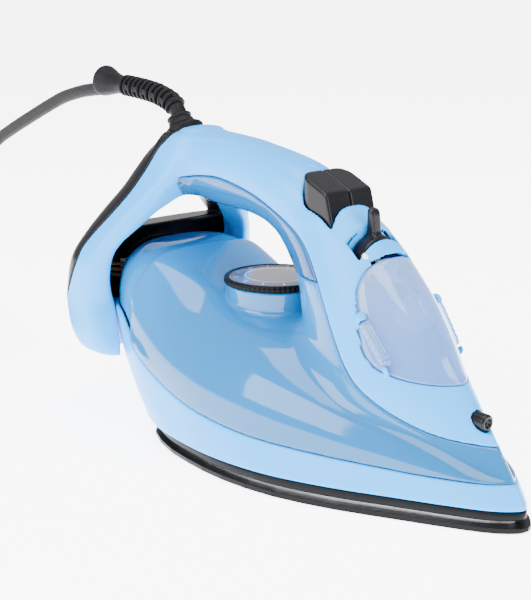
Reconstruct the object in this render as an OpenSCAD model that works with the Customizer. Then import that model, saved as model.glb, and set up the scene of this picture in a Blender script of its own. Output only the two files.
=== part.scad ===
// Steam iron: a separate solid for every piece, from the sole plate to the mains plug.
// Frame: +X towards the tip, +Y to the iron's left, +Z up, millimetres.
// The origin is on the surface the iron stands on, under the middle of its length.

/* [Sole] */
// Thickness of the coated sole plate
sole_t = 3; // [2.6:0.1:3.4]
// Radius of one steam hole
steam_hole_r = 1.4; // [1:0.1:1.8]
// Steam holes along one side row
steam_holes_side = 9; // [5:1:10]
// Steam holes in one tip row
steam_holes_tip = 3; // [2:1:4]

/* [Shells] */
// Wall of the coloured housings
wall = 2.4; // [2:0.1:2.6]
// Gap left between two neighbouring mouldings
gap = 0.3; // [0.25:0.05:0.4]

/* [Temperature dial] */
// Radius of the knurled dial rim
dial_r = 27; // [25:0.5:27.5]
// Height of the rim
dial_h = 3.4; // [3:0.1:3.8]
// Grip teeth round the rim
dial_teeth = 90; // [60:6:108]

/* [Buttons and lever] */
// Travel of the steam and spray buttons
button_travel = 3.5; // [2:0.5:4]
// Radius of the drum that carries the steam lever
drum_r = 14.6; // [14.2:0.1:14.8]
// Thickness of the lever's fin
fin_t = 5.6; // [4:0.2:6]

/* [Filler] */
// Inner radius of the water inlet
inlet_r = 7; // [6:0.5:7.5]

/* [Cord] */
// Outside diameter of the mains lead
cord_d = 7.6; // [7:0.2:8]
// Ribs on the flexible sleeve
sleeve_ribs = 11; // [9:1:12]
// Turns in the stored coil, three in its bottom layer
coil_turns = 6; // [4:1:6]

/* [Output] */
// Name of the sub-part to draw, or all

/* [Hidden] */
$fn = 48;
eps = 0.01;

// ---- body curves: station height or position, then the value there ----
// Ring resolution of the boat-shaped outlines
half_n = 22;
// Tip, stern and half width of the hull at each height
TIP = [[0, 144.4], [10, 142.2], [21, 136], [30, 130], [45, 119.5], [66, 105]];
STERN = [[0, -86], [11, -93], [26, -106], [43, -118], [66, -127]];
HALF = [[0, 62], [11, 62], [26, 60.5], [43, 58.5], [66, 56]];
// Half outline of the hull, tip to stern, in parts of length and half width
BOAT = [[1, 0], [0.985, 0.1], [0.95, 0.215], [0.88, 0.36], [0.78, 0.545], [0.66, 0.76],
    [0.53, 0.93], [0.4, 0.998], [0.28, 0.98], [0.16, 0.9], [0.06, 0.72], [0.012, 0.42], [0, 0]];
// Height of the joint between skirt and tank along the hull, stern to tip
PARTING = [[0, 65], [0.1, 63], [0.16, 50], [0.22, 41], [0.33, 32], [0.48, 26.5], [0.68, 23.5],
    [0.85, 21.5], [1, 21]];
// Crown of the tank along its length
CROWN = [[-127, 140], [-115, 128], [-103, 118], [-80, 101], [-60, 89], [-40, 80], [-12, 75],
    [20, 71], [50, 64], [80, 54], [104, 43], [125, 29], [138, 22]];
// Column that carries the handle: ridge, widest station, back, half width, corner power
NOSE = [[14, 137.8], [21, 135.8], [30, 130], [40, 122.4], [53, 110], [60, 103.8], [75, 93.2],
    [88, 82.6], [100, 71.5], [112, 60], [117, 54.8], [121, 50.2], [126, 41], [131, 35], [134, 31]];
MID = [[14, 60], [54, 55], [76, 48], [92, 40], [103, 34], [114, 27], [121, 22], [134, 16]];
BACK = [[14, 12], [60, 9], [84, 5], [92, 3.5], [101, -1], [108, -7], [116, -14], [134, -14]];
WIDE = [[14, 33], [30, 32], [54, 32], [76, 29.5], [92, 27.5], [103, 25], [114, 22], [121, 20],
    [128, 18.3], [134, 15]];
POWER = [[14, 1.3], [38, 1.3], [54, 1.5], [76, 1.75], [100, 2], [134, 2.2]];
// Grip: top and bottom edge points and half width of each slanted section
GRIP = [[[40, 123.5], [1, 97], 19], [[33, 130.5], [-6, 106.5], 18.6], [[20, 140], [-13, 113], 18.6],
    [[4, 149.5], [-24, 118], 18.4], [[-20, 155], [-39, 120.5], 17.4], [[-45, 158], [-58, 121], 16.8],
    [[-68, 159.7], [-74, 122.5], 17], [[-84, 159.8], [-88, 126], 18], [[-97, 157.5], [-99, 131], 17]];
// Heel: front, back and half width at each height
HEEL_F = [[36.5, -98], [40, -92], [55, -98], [66, -104], [80, -103], [92, -100], [104, -94],
    [116, -88], [126, -83], [136, -78], [158.5, -80]];
HEEL_B = [[36.5, -127], [39, -134.5], [43, -139.5], [50, -143.3], [60, -144.5], [72, -143.6],
    [88, -140.5], [101, -135.5], [116, -128], [128, -122], [136, -119], [148, -111],
    [155, -102], [158.5, -92]];
HEEL_W = [[36.5, 51], [39, 55], [43, 57], [50, 58.2], [60, 58.6], [72, 58.5], [90, 57],
    [103, 50.8], [116, 42], [126, 34], [136, 27], [148, 20], [155, 15.5], [158.5, 10]];
heel_z = [36.5, 38, 40, 44, 50, 60, 72, 84, 94, 103, 111, 119, 127, 136, 145, 152, 156, 158.5];
heel_power = 3.6;
// Side view of the joint between coloured housing and clear plastic
EDGE = [[-84, 135], [-66, 138], [-48, 138.5], [-20, 133], [3.5, 123.5], [19, 115], [30, 104],
    [39, 91.5], [49, 75.6], [57, 64.5], [67, 54.8], [85, 44.6], [103, 38.5], [124, 36]];
// Side view of the joint between coloured housing and rear cover, top to bottom
REAR = [[-88, 162], [-93, 154.5], [-98.7, 146], [-107.4, 120], [-120.5, 98.3], [-123.5, 89],
    [-132.2, 70], [-138, 56], [-143, 46], [-150, 44]];
// Front view of the arch between the heel's legs, half, top to bottom
ARCH = [[0, 129], [8, 127.3], [20, 120.5], [27.5, 115.5], [35, 108], [39.5, 103.5], [42.5, 100],
    [45.5, 94], [46.5, 86], [46, 76], [42, 58]];
arch_sill = 103.5;
// Front view of the filler lid, half, top to bottom
LID = [[0, 113], [8, 111.8], [15, 108.3], [19.3, 103], [21.8, 98], [24.2, 89], [25.8, 80],
    [26.3, 71], [25, 65.5], [20, 62], [12, 60.3], [0, 59.8]];

// ---- curve helpers ----
function clamp(v, lo, hi) = min(max(v, lo), hi);
function seg(v, tab, i = 0) = (i >= len(tab) - 2 || v < tab[i + 1][0]) ? i : seg(v, tab, i + 1);
function slope(tab, i) =
    let (a = max(i - 1, 0), b = min(i + 1, len(tab) - 1))
    (tab[b][1] - tab[a][1]) / (tab[b][0] - tab[a][0]);
// Smooth value of a table at v, held level past both ends
function curve(v, tab) =
    let (i = seg(v, tab), p = tab[i], q = tab[i + 1], h = q[0] - p[0],
        t = clamp((v - p[0]) / h, 0, 1), t2 = t * t, t3 = t2 * t)
    (2 * t3 - 3 * t2 + 1) * p[1] + (t3 - 2 * t2 + t) * h * slope(tab, i)
        + (3 * t2 - 2 * t3) * q[1] + (t3 - t2) * h * slope(tab, i + 1);
// Point on the half outline; t runs from 0 at the tip to 1 at the stern
function mirror_y(p) = [p[0], -p[1]];
function boat_point(t) =
    let (n = len(BOAT) - 1, k = min(floor(t * n), n - 1), s = t * n - k,
        p1 = BOAT[k], p2 = BOAT[k + 1],
        p0 = k == 0 ? mirror_y(BOAT[1]) : BOAT[k - 1],
        p3 = k == n - 1 ? mirror_y(BOAT[n - 1]) : BOAT[k + 2])
    0.5 * ((2 * p1) + (p2 - p0) * s + (2 * p0 - 5 * p1 + 4 * p2 - p3) * s * s
        + (3 * p1 - p0 - 3 * p2 + p3) * s * s * s);
function boat_ring_uv() = concat(
    [for (k = [0:half_n]) boat_point(k / half_n)],
    [for (k = [half_n - 1:-1:1]) mirror_y(boat_point(k / half_n))]);
UV = boat_ring_uv();
// Point of the hull's side at outline position p and height z, grown by d
function hull_point(p, z, d) =
    let (a = curve(z, STERN) - d, b = curve(z, TIP) + 1.6 * d, w = curve(z, HALF) + d)
    [a + p[0] * (b - a), p[1] * w, z];
function hull_ring(z, d) = [for (p = UV) hull_point(p, z, d)];
// Ring of the hull at a share f of the way from height z0 up to the parting joint
function rising_ring(z0, f, d, lift = 0) =
    [for (p = UV) hull_point(p, z0 + f * (curve(p[0], PARTING) + lift - z0), d)];

// ---- lofts ----
// Skin over rings that mirror about y = 0; the ends are closed by strips from side to side
module loft(rings) {
    n = len(rings[0]);
    m = len(rings);
    h = floor(n / 2);
    walls = [for (j = [0:m - 2]) for (i = [0:n - 1])
        let (a = j * n + i, b = j * n + (i + 1) % n)
        each [[a, a + n, b + n], [a, b + n, b]]];
    strip = [for (k = [0:h - 1]) let (a = k, b = k + 1, c = (n - k - 1) % n, e = (n - k) % n)
        each (k == 0 ? [[a, b, c]] : k == h - 1 ? [[a, b, e]] : [[a, b, c], [a, c, e]])];
    top = [for (f = strip) [for (v = [f[2], f[1], f[0]]) v + (m - 1) * n]];
    low = strip;
    polyhedron(points = [for (r = rings) each r],
        faces = concat(walls, low, top));
}
// Makes everything inside one solid mesh, so that curved skins are cut cleanly
module as_one() {
    resize([0, 0, 0])
        children();
}
// Slab across the full width, from a side-view outline of [x, z] points
module side_slab(points, width = 200) {
    rotate([90, 0, 0])
        linear_extrude(width, center = true)
            polygon(points);
}
// Slab along X, from a front-view half outline of [y, z] points
module front_slab(half, x0, x1) {
    full = concat(half, [for (k = [len(half) - 1:-1:0]) if (half[k][0] > 0) [-half[k][0], half[k][1]]]);
    translate([x0, 0, 0])
        rotate([90, 0, 90])
            linear_extrude(x1 - x0)
                polygon(full);
}

// ---- the body's solids, each grown by d (or shrunk when d is negative) ----
column_z = [14, 21, 30, 40, 50, 60, 70, 80, 90, 98, 106, 113, 119, 124, 129, 134];
function power_arc(a, m) = sign(a) * pow(abs(a), 2 / m);
// Horizontal ring of the column: a bullet in front, half an ellipse behind
function column_ring(z, d, n = 34) =
    let (m = curve(z, POWER), xm = curve(z, MID), w = curve(z, WIDE) + d,
        f = curve(z, NOSE) + 1.3 * d - xm, b = xm - curve(z, BACK) + d)
    [for (k = [0:n - 1]) let (a = 360 * k / n, c = cos(a), s = sin(a))
        c >= 0 ? [xm + f * power_arc(c, m), w * power_arc(s, m), z]
            : [xm + b * c, w * s, z]];
module column(d = 0, z0 = 14, z1 = 134) {
    loft([for (z = concat([z0], [for (v = column_z) if (v > z0 + 1 && v < z1 - 1) v], [z1]))
        column_ring(z, d)]);
}
// Slanted ring of the grip between its top and bottom edge points
function grip_ring(g, d, n = 28, m = 2.3) =
    let (t = g[0], b = g[1], c = (t + b) / 2, h = norm(t - b) / 2, u = (t - b) / norm(t - b))
    [for (k = [0:n - 1]) let (a = 360 * k / n, q = (h + d) * power_arc(cos(a), m))
        [c[0] + q * u[0], (g[2] + d) * power_arc(sin(a), m), c[1] + q * u[1]]];
module grip(d = 0) {
    loft([for (g = GRIP) grip_ring(g, d)]);
}
// Horizontal ring of the heel
function heel_ring(z, d, n = 40) =
    let (f = curve(z, HEEL_F) + d, b = curve(z, HEEL_B) - d, w = curve(z, HEEL_W) + d,
        zz = z - d * (z < 50 ? 1 : z > 150 ? -1 : 0))
    [for (k = [0:n - 1]) let (a = 360 * k / n)
        [(f + b) / 2 + (f - b) / 2 * power_arc(cos(a), heel_power),
            w * power_arc(sin(a), heel_power), zz]];
module heel(d = 0) {
    loft([for (z = heel_z) heel_ring(z, d)]);
}
dome_power = 2.5;
dome_steps = [0, 15, 28, 40, 52, 64, 76, 86];
dome_x = 5;
// Ring of the tank's dome; the angle a runs from 0 at the parting joint to 90 at the crown
function dome_ring(a, d, lift) =
    [for (p = UV)
        let (zp = curve(p[0], PARTING) + lift, q = hull_point(p, zp, d),
            s = pow(cos(a), 2 / dome_power), r = pow(sin(a), 2 / dome_power),
            x = dome_x + s * (q[0] - dome_x), top = max(curve(x, CROWN) + d, zp + 1))
        [x, s * q[1], zp + (top - zp) * r]];
module dome(d = 0, lift = 0) {
    loft([for (a = dome_steps) dome_ring(a, d, lift)]);
}
// Hull from height z0 up to the parting joint
module hull_body(z0, d = 0, lift = 0) {
    loft([for (f = [0, 0.25, 0.5, 0.75, 1]) rising_ring(z0, f, d, lift)]);
}

// ---- regions that cut the body's skin into mouldings ----
function moved(tab, dx, dz) = [for (p = tab) [p[0] + dx, p[1] + dz]];
edge_front = [for (p = EDGE) if (p[0] > -50) p];
// Everything above and ahead of the EDGE curve, in front of x = -48
module shield_region(d = 0) {
    side_slab(concat(moved(edge_front, -0.6 * d, -d), [[150, 33 - d], [150, 190], [-48, 190]]));
}
// Everything behind the REAR curve
module cover_region(d = 0) {
    side_slab(concat(moved(REAR, 1.1 * d, 0), [[-170, 44 - d], [-170, 175], [-88, 175]]));
}
// Underside of the grip and the top of the column's back
module insert_region(d = 0) {
    side_slab(concat(moved([for (p = EDGE) if (p[0] < 31) p], -0.6 * d, -d),
        [[32, 100 + d], [-14, 100 + d], [-60, 110], [-88 + d, 119]]));
}
// Arch between the legs, grown by d, from its crotch down to height z0
module arch(d = 0, z0 = 60) {
    grown = [for (p = ARCH) [p[0] + (p[0] > 0 ? d : 0), p[1] + (p[0] < 30 ? d : 0)]];
    intersection() {
        front_slab(concat(grown, [[0, ARCH[len(ARCH) - 1][1]]]), -170, -60);
        translate([-180, -100, z0])
            cube([140, 200, 100]);
    }
}

// ---- sole group ----
function plate_ring(inset) = [for (p = UV) let (q = hull_point(p, 0, -inset)) [q[0], q[1]]];
module hull_plate(z0, z1, inset = 0) {
    translate([0, 0, z0])
        linear_extrude(z1 - z0)
            polygon(plate_ring(inset));
}
// Steam holes: a row down each side and a small triangle of rows at the tip
module steam_holes(z0, z1) {
    for (side = [-1, 1])
        for (k = [0:steam_holes_side - 1])
            translate([96 - 15 * k, side * (20 + 21 * sin(80 * k / max(steam_holes_side - 1, 1))), z0])
                cylinder(h = z1 - z0, r = steam_hole_r, $fn = 12);
    for (row = [0:2])
        for (k = [0:steam_holes_tip - 1])
            translate([118 - 9 * row, 7 * (k - (steam_holes_tip - 1) / 2) * (0.6 + 0.3 * row), z0])
                cylinder(h = z1 - z0, r = steam_hole_r, $fn = 12);
}
sole_edge = 1.2;
module sole_plate() {
    color("#232328")
        difference() {
            union() {
                hull_plate(0, sole_edge, sole_edge);
                hull_plate(sole_edge, sole_t);
            }
            steam_holes(-1, sole_t + 1);
        }
}
cast_z0 = sole_t;
cast_t = 4.4;
cast_top = cast_z0 + cast_t;
chamber_h = 6;
chamber_x = 58;
chamber_r = 24;
heater_r = 3.4;
heater_u = 33;
heater_front = chamber_x;
heater_back = -62;
heater_z = cast_top + heater_r + 0.05;
// Posts that the housing is screwed down on
POSTS = [[104, 0], [-66, 25], [-66, -25]];
post_r = 4;
post_h = 9;
screw_r = 1.6;
thermostat_xy = [-25, 0];
module sole_casting() {
    color("#B4B7BA")
        difference() {
            union() {
                hull_plate(cast_z0, cast_top, 5);
                translate([chamber_x, 0, cast_top - eps])
                    cylinder(h = chamber_h, r = chamber_r);
                for (p = POSTS)
                    translate([p[0], p[1], cast_top - eps])
                        cylinder(h = post_h, r = post_r, $fn = 24);
                translate([thermostat_xy[0], 0, cast_top - eps])
                    cylinder(h = 3, r = 11);
            }
            translate([chamber_x, 0, cast_top - 1.4])
                cylinder(h = chamber_h + 3, r = chamber_r - 3);
            for (p = POSTS)
                translate([p[0], p[1], cast_top + 1])
                    cylinder(h = post_h, r = screw_r, $fn = 24);
            for (x = [chamber_x - 13, chamber_x + 13])
                translate([x, 0, cast_z0 - 1])
                    cylinder(h = cast_t + 3, r = 2.2, $fn = 24);
        }
}
// U-shaped tubular heater lying on the casting, with both ends bent up
module heating_element() {
    color("#8A8D90") {
        translate([heater_front, 0, heater_z])
            rotate([0, 0, -90])
                rotate_extrude(angle = 180)
                    translate([heater_u, 0])
                        circle(heater_r, $fn = 24);
        for (side = [-1, 1]) {
            translate([heater_back, side * heater_u, heater_z])
                rotate([0, 90, 0])
                    cylinder(h = heater_front - heater_back, r = heater_r, $fn = 24);
            translate([heater_back + heater_r, side * heater_u, heater_z])
                cylinder(h = 11, r = 1.6, $fn = 24);
        }
    }
}
module steam_chamber_cover() {
    color("#C9CBCD")
        translate([chamber_x, 0, cast_top + chamber_h])
            difference() {
                cylinder(h = 1.2, r = chamber_r);
                translate([valve_x - chamber_x, 0, -1])
                    cylinder(h = 4, r = 2.6, $fn = 24);
                translate([shot_at[0] - chamber_x, shot_at[1], -1])
                    cylinder(h = 4, r = 1.9, $fn = 24);
            }
}
skirt_z0 = 5.6;
skirt_z1 = 9.8;
module heat_skirt() {
    color("#1E1E22")
        difference() {
            hull_plate(skirt_z0, skirt_z1, 1.6);
            hull_plate(cast_top + 0.4, skirt_z1 + 1, 8);
            hull_plate(skirt_z0 - 1, cast_top + 1, 4.8);
        }
}

// ---- housing, tank and grip ----
hull_z0 = 10;
floor_z0 = 16.7;
floor_z1 = 18.7;
valve_x = 45.2;
shot_at = [42, -11];
module vertical_holes(spots, r, z0, z1) {
    for (p = spots)
        translate([p[0], p[1], z0])
            cylinder(h = z1 - z0, r = r, $fn = 24);
}
module lower_housing() {
    color("#92D0FA")
        as_one()
            difference() {
                hull_body(hull_z0);
                difference() {
                    hull_body(hull_z0 - 1, -wall, 3);
                    translate([-200, -100, floor_z0])
                        cube([400, 200, floor_z1 - floor_z0]);
                }
                vertical_holes(POSTS, screw_r + 0.3, floor_z0 - 1, floor_z1 + 1);
                vertical_holes([thermostat_xy], 12.6, floor_z0 - 1, floor_z1 + 1);
                vertical_holes([[valve_x, 0]], 4.2, floor_z0 - 1, floor_z1 + 1);
                vertical_holes([shot_at], 2.6, floor_z0 - 1, floor_z1 + 1);
                vertical_holes([for (s = [-1, 1]) [heater_back + heater_r, s * heater_u]], 3.4,
                    floor_z0 - 1, floor_z1 + 1);
                vertical_holes([[-74, 0]], 7, floor_z0 - 1, floor_z1 + 1);
                translate([-136, 0, 49])
                    rotate([0, 90, 0])
                        cylinder(h = 30, r = 4, $fn = 24);
            }
}
base_t = 2.4;
sleeve_r = 5.4;
shaft_r = 2.8;
module tank_base() {
    color("#2F7CC4", 0.75)
        as_one()
            difference() {
                intersection() {
                    loft([rising_ring(0, 1, -wall - gap - 0.8, gap),
                        rising_ring(0, 1, -wall - gap - 0.8, gap + base_t)]);
                    dome(-wall - gap, -3);
                }
                vertical_holes([thermostat_xy], sleeve_r + 0.1, 0, 90);
                vertical_holes([[valve_x, 0]], sleeve_r + 0.1, 0, 90);
                vertical_holes([shot_at], hose_r + 2.5, 0, 90);
            }
}
tank_top = 99.7;
inlet_at = [73.1, 0, 87.7];
inlet_tilt = 52;
inlet_wall = 1.8;
recess = 9;
module at_inlet() {
    translate(inlet_at)
        rotate([0, inlet_tilt, 0])
            children();
}
pedestal_r = dial_r - 2;
dial_z1 = 89.2;
dial_z0 = dial_z1 - dial_h;
pedestal_top = dial_z0 - 0.5;
nozzle_at = [108.8, 0, 45.8];
nozzle_tilt = 92;
nozzle_r = 4.2;
module at_nozzle() {
    translate(nozzle_at)
        rotate([0, nozzle_tilt, 0])
            children();
}
module clear_body(d = 0) {
    dome(d, gap);
    column(d, 40, tank_top + min(d, 0));
}
module water_tank() {
    color("#3C97E0", 0.5)
        as_one()
            difference() {
                union() {
                    difference() {
                        clear_body();
                        shield_region(gap);
                    }
                    clear_body(-wall - gap);
                    difference() {
                        translate([thermostat_xy[0], 0, 60])
                            cylinder(h = pedestal_top - 60, r = pedestal_r);
                        translate([thermostat_xy[0], 0, 50])
                            cylinder(h = 60, r = pedestal_r - 2);
                    }
                }
                // water space, open at the bottom for the base
                difference() {
                    union() {
                        dome(-wall, -3);
                        column(-wall, 38, tank_top - wall);
                    }
                    // keeps the step under the coloured shield
                    difference() {
                        shield_region(wall + gap);
                        dome(-2 * wall - gap, -3);
                        column(-2 * wall - gap, 38, tank_top - 2 * wall);
                    }
                    // keeps a floor under the filler recess
                    difference() {
                        front_slab([for (p = LID) [p[0] * 1.06, p[1]]], 50, 150);
                        column(-recess - wall, 38, tank_top - 2 * wall);
                    }
                    vertical_holes([thermostat_xy], sleeve_r, 20, 90);
                    vertical_holes([[valve_x, 0]], sleeve_r, 20, 100);
                    vertical_holes([shot_at], hose_r + 2.4, 20, 100);
                    tube(DUCT, hose_r + 2.4, 12);
                }
                // recess behind the filler lid
                difference() {
                    front_slab([for (p = LID) [p[0] * 0.94, p[1] < 80 ? p[1] + 2 : p[1]]], 50, 150);
                    column(-recess, 38, 130);
                }
                at_inlet()
                    translate([0, 0, -12])
                        cylinder(h = 24, r = inlet_r + inlet_wall + 0.1, $fn = 32);
                vertical_holes([thermostat_xy], shaft_r + 0.6, 0, 100);
                vertical_holes([[valve_x, 0]], 2.6, 0, 110);
                vertical_holes([shot_at], hose_r + 0.3, 0, 110);
                vertical_holes([feed_xy], hose_r + 0.2, 85, 110);
                tube(DUCT, hose_r + 0.4, 12);
                at_nozzle()
                    translate([0, 0, -6])
                        cylinder(h = 20, r = nozzle_r + 0.2, $fn = 32);
            }
}
// Pocket for the two buttons, seen from the side
BUTTON = [[8.6, 132], [8.6, 148.8], [28.2, 140.3], [33, 122.5], [30.6, 119.5], [19.5, 119.5]];
button_half = 16;
pocket_z0 = 111.2;
button_seam = 0.3;
// Recess over the lever's drum
lever_x0 = 42.4;
lever_x1 = 50.4;
slot_side = 0.9;
drum_z = 106.6;
lamp_at = [52.6, -12.4, 114.2];
lamp_tilt = 40;
module at_lamp() {
    translate(lamp_at)
        rotate([0, lamp_tilt, 0])
            children();
}
gland_at = [-100, 0, 157];
gland_tilt = -32;
gland_r = 11;
module at_gland() {
    translate(gland_at)
        rotate([0, gland_tilt, 0])
            children();
}
module button_pocket(d = 0) {
    side_slab(concat([[BUTTON[0][0] - d, pocket_z0], [BUTTON[1][0] - d, 160]],
        [[BUTTON[2][0] + d, 160], [BUTTON[2][0] + d, BUTTON[2][1]], [BUTTON[3][0] + d, BUTTON[3][1]],
        [BUTTON[3][0] + d, pocket_z0]]), 2 * (button_half + d));
}
module drum_space(d) {
    translate([lever_x0 - d, 0, drum_z])
        rotate([0, 90, 0])
            cylinder(h = lever_x1 - lever_x0 + 2 * d, r = drum_r + d);
}
// Housing stays solid round the upper part of the drum
module drum_rim() {
    intersection() {
        drum_space(wall);
        translate([0, -50, drum_z + 6])
            cube([100, 100, 60]);
    }
}
// Side fairings that carry the lid's grip tabs
FAIR_TOP = [62.6, 25.8, 88.3];
FAIR_LOW = [79.2, 23.9, 66.8];
fair_r = 3;
module fairing_line(from, to, r, side) {
    a = FAIR_TOP + from * (FAIR_LOW - FAIR_TOP);
    b = FAIR_TOP + to * (FAIR_LOW - FAIR_TOP);
    hull()
        for (p = [a, b])
            translate([p[0], side * p[1], p[2]])
                sphere(r, $fn = 12);
}
module coloured_body(d = 0) {
    column(d, 30 - min(d, 0), 134 + d);
    grip(d);
    intersection() {
        dome(d, gap);
        translate([30, -100, 0])
            cube([200, 200, 200]);
    }
}
module upper_housing() {
    color("#92D0FA")
        as_one()
            difference() {
                union() {
                    // front shield and the top of the grip
                    difference() {
                        intersection() {
                            coloured_body();
                            union() {
                                shield_region();
                                side_slab(concat(EDGE, [[120, 190], [-84, 190]]));
                            }
                        }
                        difference() {
                            coloured_body(-wall);
                            button_pocket(wall);
                            drum_rim();
                        }
                    }
                    // legs
                    difference() {
                        heel();
                        difference() {
                            heel(-wall);
                            arch(wall);
                        }
                        arch();
                        side_slab([[-84, 134.7], [-60, 134.7], [-60, 30], [-84, 30]]);
                    }
                    // bosses round the lid's grips
                    for (side = [-1, 1]) {
                        fairing_line(0, 0.14, fair_r, side);
                        fairing_line(0.86, 1, fair_r, side);
                    }
                }
                cover_region(gap);
                intersection() {
                    grip(-wall);
                    side_slab([[-130, 100], [-130, 170], [-40, 170], [-40, 100]]);
                }
                intersection() {
                    heel(-wall);
                    side_slab([[-115, 134], [-115, 170], [-70, 170], [-70, 134]]);
                }
                // clearance round the tank and the lower housing
                intersection() {
                    union() {
                        dome(gap + 0.1, 0);
                        hull_body(8, gap + 0.1, 0.5);
                    }
                    translate([-200, -100, 0])
                        cube([150, 200, 200]);
                }
                front_slab(LID, 50, 150);
                button_pocket(0.4);
                drum_space(0.6);
                translate([lever_x0 - 0.6, -drum_r - slot_side, drum_z])
                    cube([lever_x1 - lever_x0 + 1.2, 2 * (drum_r + slot_side), 60]);
                // room for the lid's top edge to swing
                for (swing = [[4.3, 5], [3.9, 7], [3.2, 12.5]])
                    translate([lid_hinge[0], -swing[1], lid_hinge[1]])
                        rotate([-90, 0, 0])
                            cylinder(h = 2 * swing[1], r = swing[0], $fn = 32);
                at_nozzle()
                    translate([0, 0, -12])
                        cylinder(h = 30, r = nozzle_r + 0.2, $fn = 32);
                at_lamp()
                    translate([0, 0, -8])
                        cylinder(h = 16, r = 1.9, $fn = 20);
                at_gland()
                    translate([0, 0, -10])
                        cylinder(h = 40, r = gland_r + gap, $fn = 40);
                for (side = [-1, 1])
                    fairing_line(0.15, 0.85, fair_r + gap, side);
            }
}
module handle_insert() {
    color("#3C8FD8", 0.8)
        as_one()
            difference() {
                intersection() {
                    union() {
                        grip();
                        column(0, 90, 134);
                    }
                    insert_region(gap);
                    side_slab([[-83.5, 90], [-83.5, 160], [60, 160], [60, tank_top + gap],
                        [-20, tank_top + gap], [-20, 90]]);
                }
                grip(-wall);
                column(-wall, 80, 134);
                heel(gap);
            }
}
module rear_cover() {
    color("#2A2A2F")
        as_one()
            difference() {
                intersection() {
                    heel();
                    cover_region();
                }
                difference() {
                    heel(-wall);
                    arch(wall, arch_sill - wall);
                }
                arch(0, arch_sill);
                dome(gap + 0.1, 0);
                hull_body(8, gap + 0.1, 0.5);
                at_gland()
                    translate([0, 0, -10])
                        cylinder(h = 40, r = gland_r + gap, $fn = 40);
            }
}
lid_t = 2;
lid_gap = 0.4;
lid_hinge = [57.3, 109.6];
lid_top = 112.3;
knuckle_r = 1.9;
knuckle_y0 = 2.7;
knuckle_w = 3.6;
lid_pin_r = 0.9;
ear_r = 1.45;
lid_mid_z = 86;
lid_scale = 1 - lid_gap / 30;
lid_outline = [for (p = LID) [p[0] * lid_scale, lid_mid_z + (p[1] - lid_mid_z) * lid_scale]];
// Hinge knuckle on the lid's inner face
module knuckle(side) {
    translate([0, side > 0 ? knuckle_y0 : -knuckle_y0 - knuckle_w, 0]) {
        translate([lid_hinge[0], 0, lid_hinge[1]])
            rotate([-90, 0, 0])
                cylinder(h = knuckle_w, r = knuckle_r, $fn = 20);
        translate([lid_hinge[0], 0, lid_hinge[1] - 1.4])
            cube([3.6, knuckle_w, 2.8]);
    }
}
module filler_lid() {
    color("#BFE0FA", 0.5)
        as_one()
            difference() {
                union() {
                    intersection() {
                        difference() {
                            column(0, 40, 130);
                            column(-lid_t, 38, 132);
                        }
                        front_slab(lid_outline, 50, 150);
                    }
                    for (side = [-1, 1]) {
                        fairing_line(0.17, 0.83, fair_r - 0.1, side);
                        knuckle(side);
                    }
                }
                translate([50, -30, lid_top])
                    cube([30, 60, 10]);
                translate([lid_hinge[0], -10, lid_hinge[1]])
                    rotate([-90, 0, 0])
                        cylinder(h = 20, r = lid_pin_r + 0.02, $fn = 20);
                for (side = [-1, 1])
                    for (k = [0:3])
                        let (p = FAIR_TOP + (0.24 + 0.17 * k) * (FAIR_LOW - FAIR_TOP))
                            translate([p[0], side * (p[1] + fair_r), p[2]])
                                rotate([0, 52, 0])
                                    cube([1.2, 1.4, 8], center = true);
            }
}

// ---- water and steam parts ----
module filler_inlet() {
    color("#DDE6EE")
        at_inlet()
            difference() {
                translate([0, 0, -7])
                    cylinder(h = 8, r = inlet_r + inlet_wall);
                translate([0, 0, -8])
                    cylinder(h = 10, r = inlet_r);
            }
}
nozzle_out = 10.4;
module spray_nozzle() {
    color("#232328")
        at_nozzle()
            rotate_extrude()
                polygon([[0.7, -5], [nozzle_r, -5], [nozzle_r, nozzle_out - 0.8],
                    [nozzle_r - 0.8, nozzle_out], [2.2, nozzle_out], [1.8, nozzle_out - 0.9],
                    [0.7, nozzle_out - 0.9]]);
}
pump_xy = [24, 8.2];
pump_z0 = 99.8;
pump_z1 = 114.4;
pump_floor = 102.8;
pump_r = 6.4;
pump_bore = 4.6;
piston_r = 4.55;
piston_z0 = 109;
module pump_body(side) {
    color("#E4E6E8")
        translate([pump_xy[0], side * pump_xy[1], 0]) {
            difference() {
                translate([0, 0, pump_z0])
                    cylinder(h = pump_z1 - pump_z0, r = pump_r);
                translate([0, 0, pump_floor])
                    cylinder(h = pump_z1, r = pump_bore);
            }
        }
}
module steam_pump() pump_body(-1);
module spray_pump() pump_body(1);
// Round tube along a route of points, as one swept skin
function unit(v) = v / norm(v);
function route_dir(pts, i) = unit(pts[min(i + 1, len(pts) - 1)] - pts[max(i - 1, 0)]);
function side_dir(d) = unit(cross(d, abs(d[1]) > 0.7 ? [1, 0, 0] : [0, 1, 0]));
function level(u, d) = unit(u - (u * d) * d);
// Rings of radius r, or of one radius a point when r is a list, carried along without twist
function tube_rings(pts, r, n) =
    [for (i = 0, d = route_dir(pts, 0), u = side_dir(d); i < len(pts);
        i = i + 1, d = i < len(pts) ? route_dir(pts, i) : d, u = level(u, d))
        let (v = cross(d, u), q = is_list(r) ? r[i] : r)
        [for (k = [0:n - 1]) let (a = 360 * k / n) pts[i] + q * (cos(a) * u + sin(a) * v)]];
module ring_skin(rings) {
    n = len(rings[0]);
    m = len(rings);
    polyhedron(points = [for (g = rings) each g],
        faces = concat([[for (k = [0:n - 1]) k]], [[for (k = [n - 1:-1:0]) (m - 1) * n + k]],
            [for (j = [0:m - 2]) for (k = [0:n - 1]) let (a = j * n + k, b = j * n + (k + 1) % n)
                each [[a, a + n, b + n], [a, b + n, b]]]));
}
module tube(pts, r, n = 8) {
    ring_skin(tube_rings(pts, r, n));
}
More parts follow.
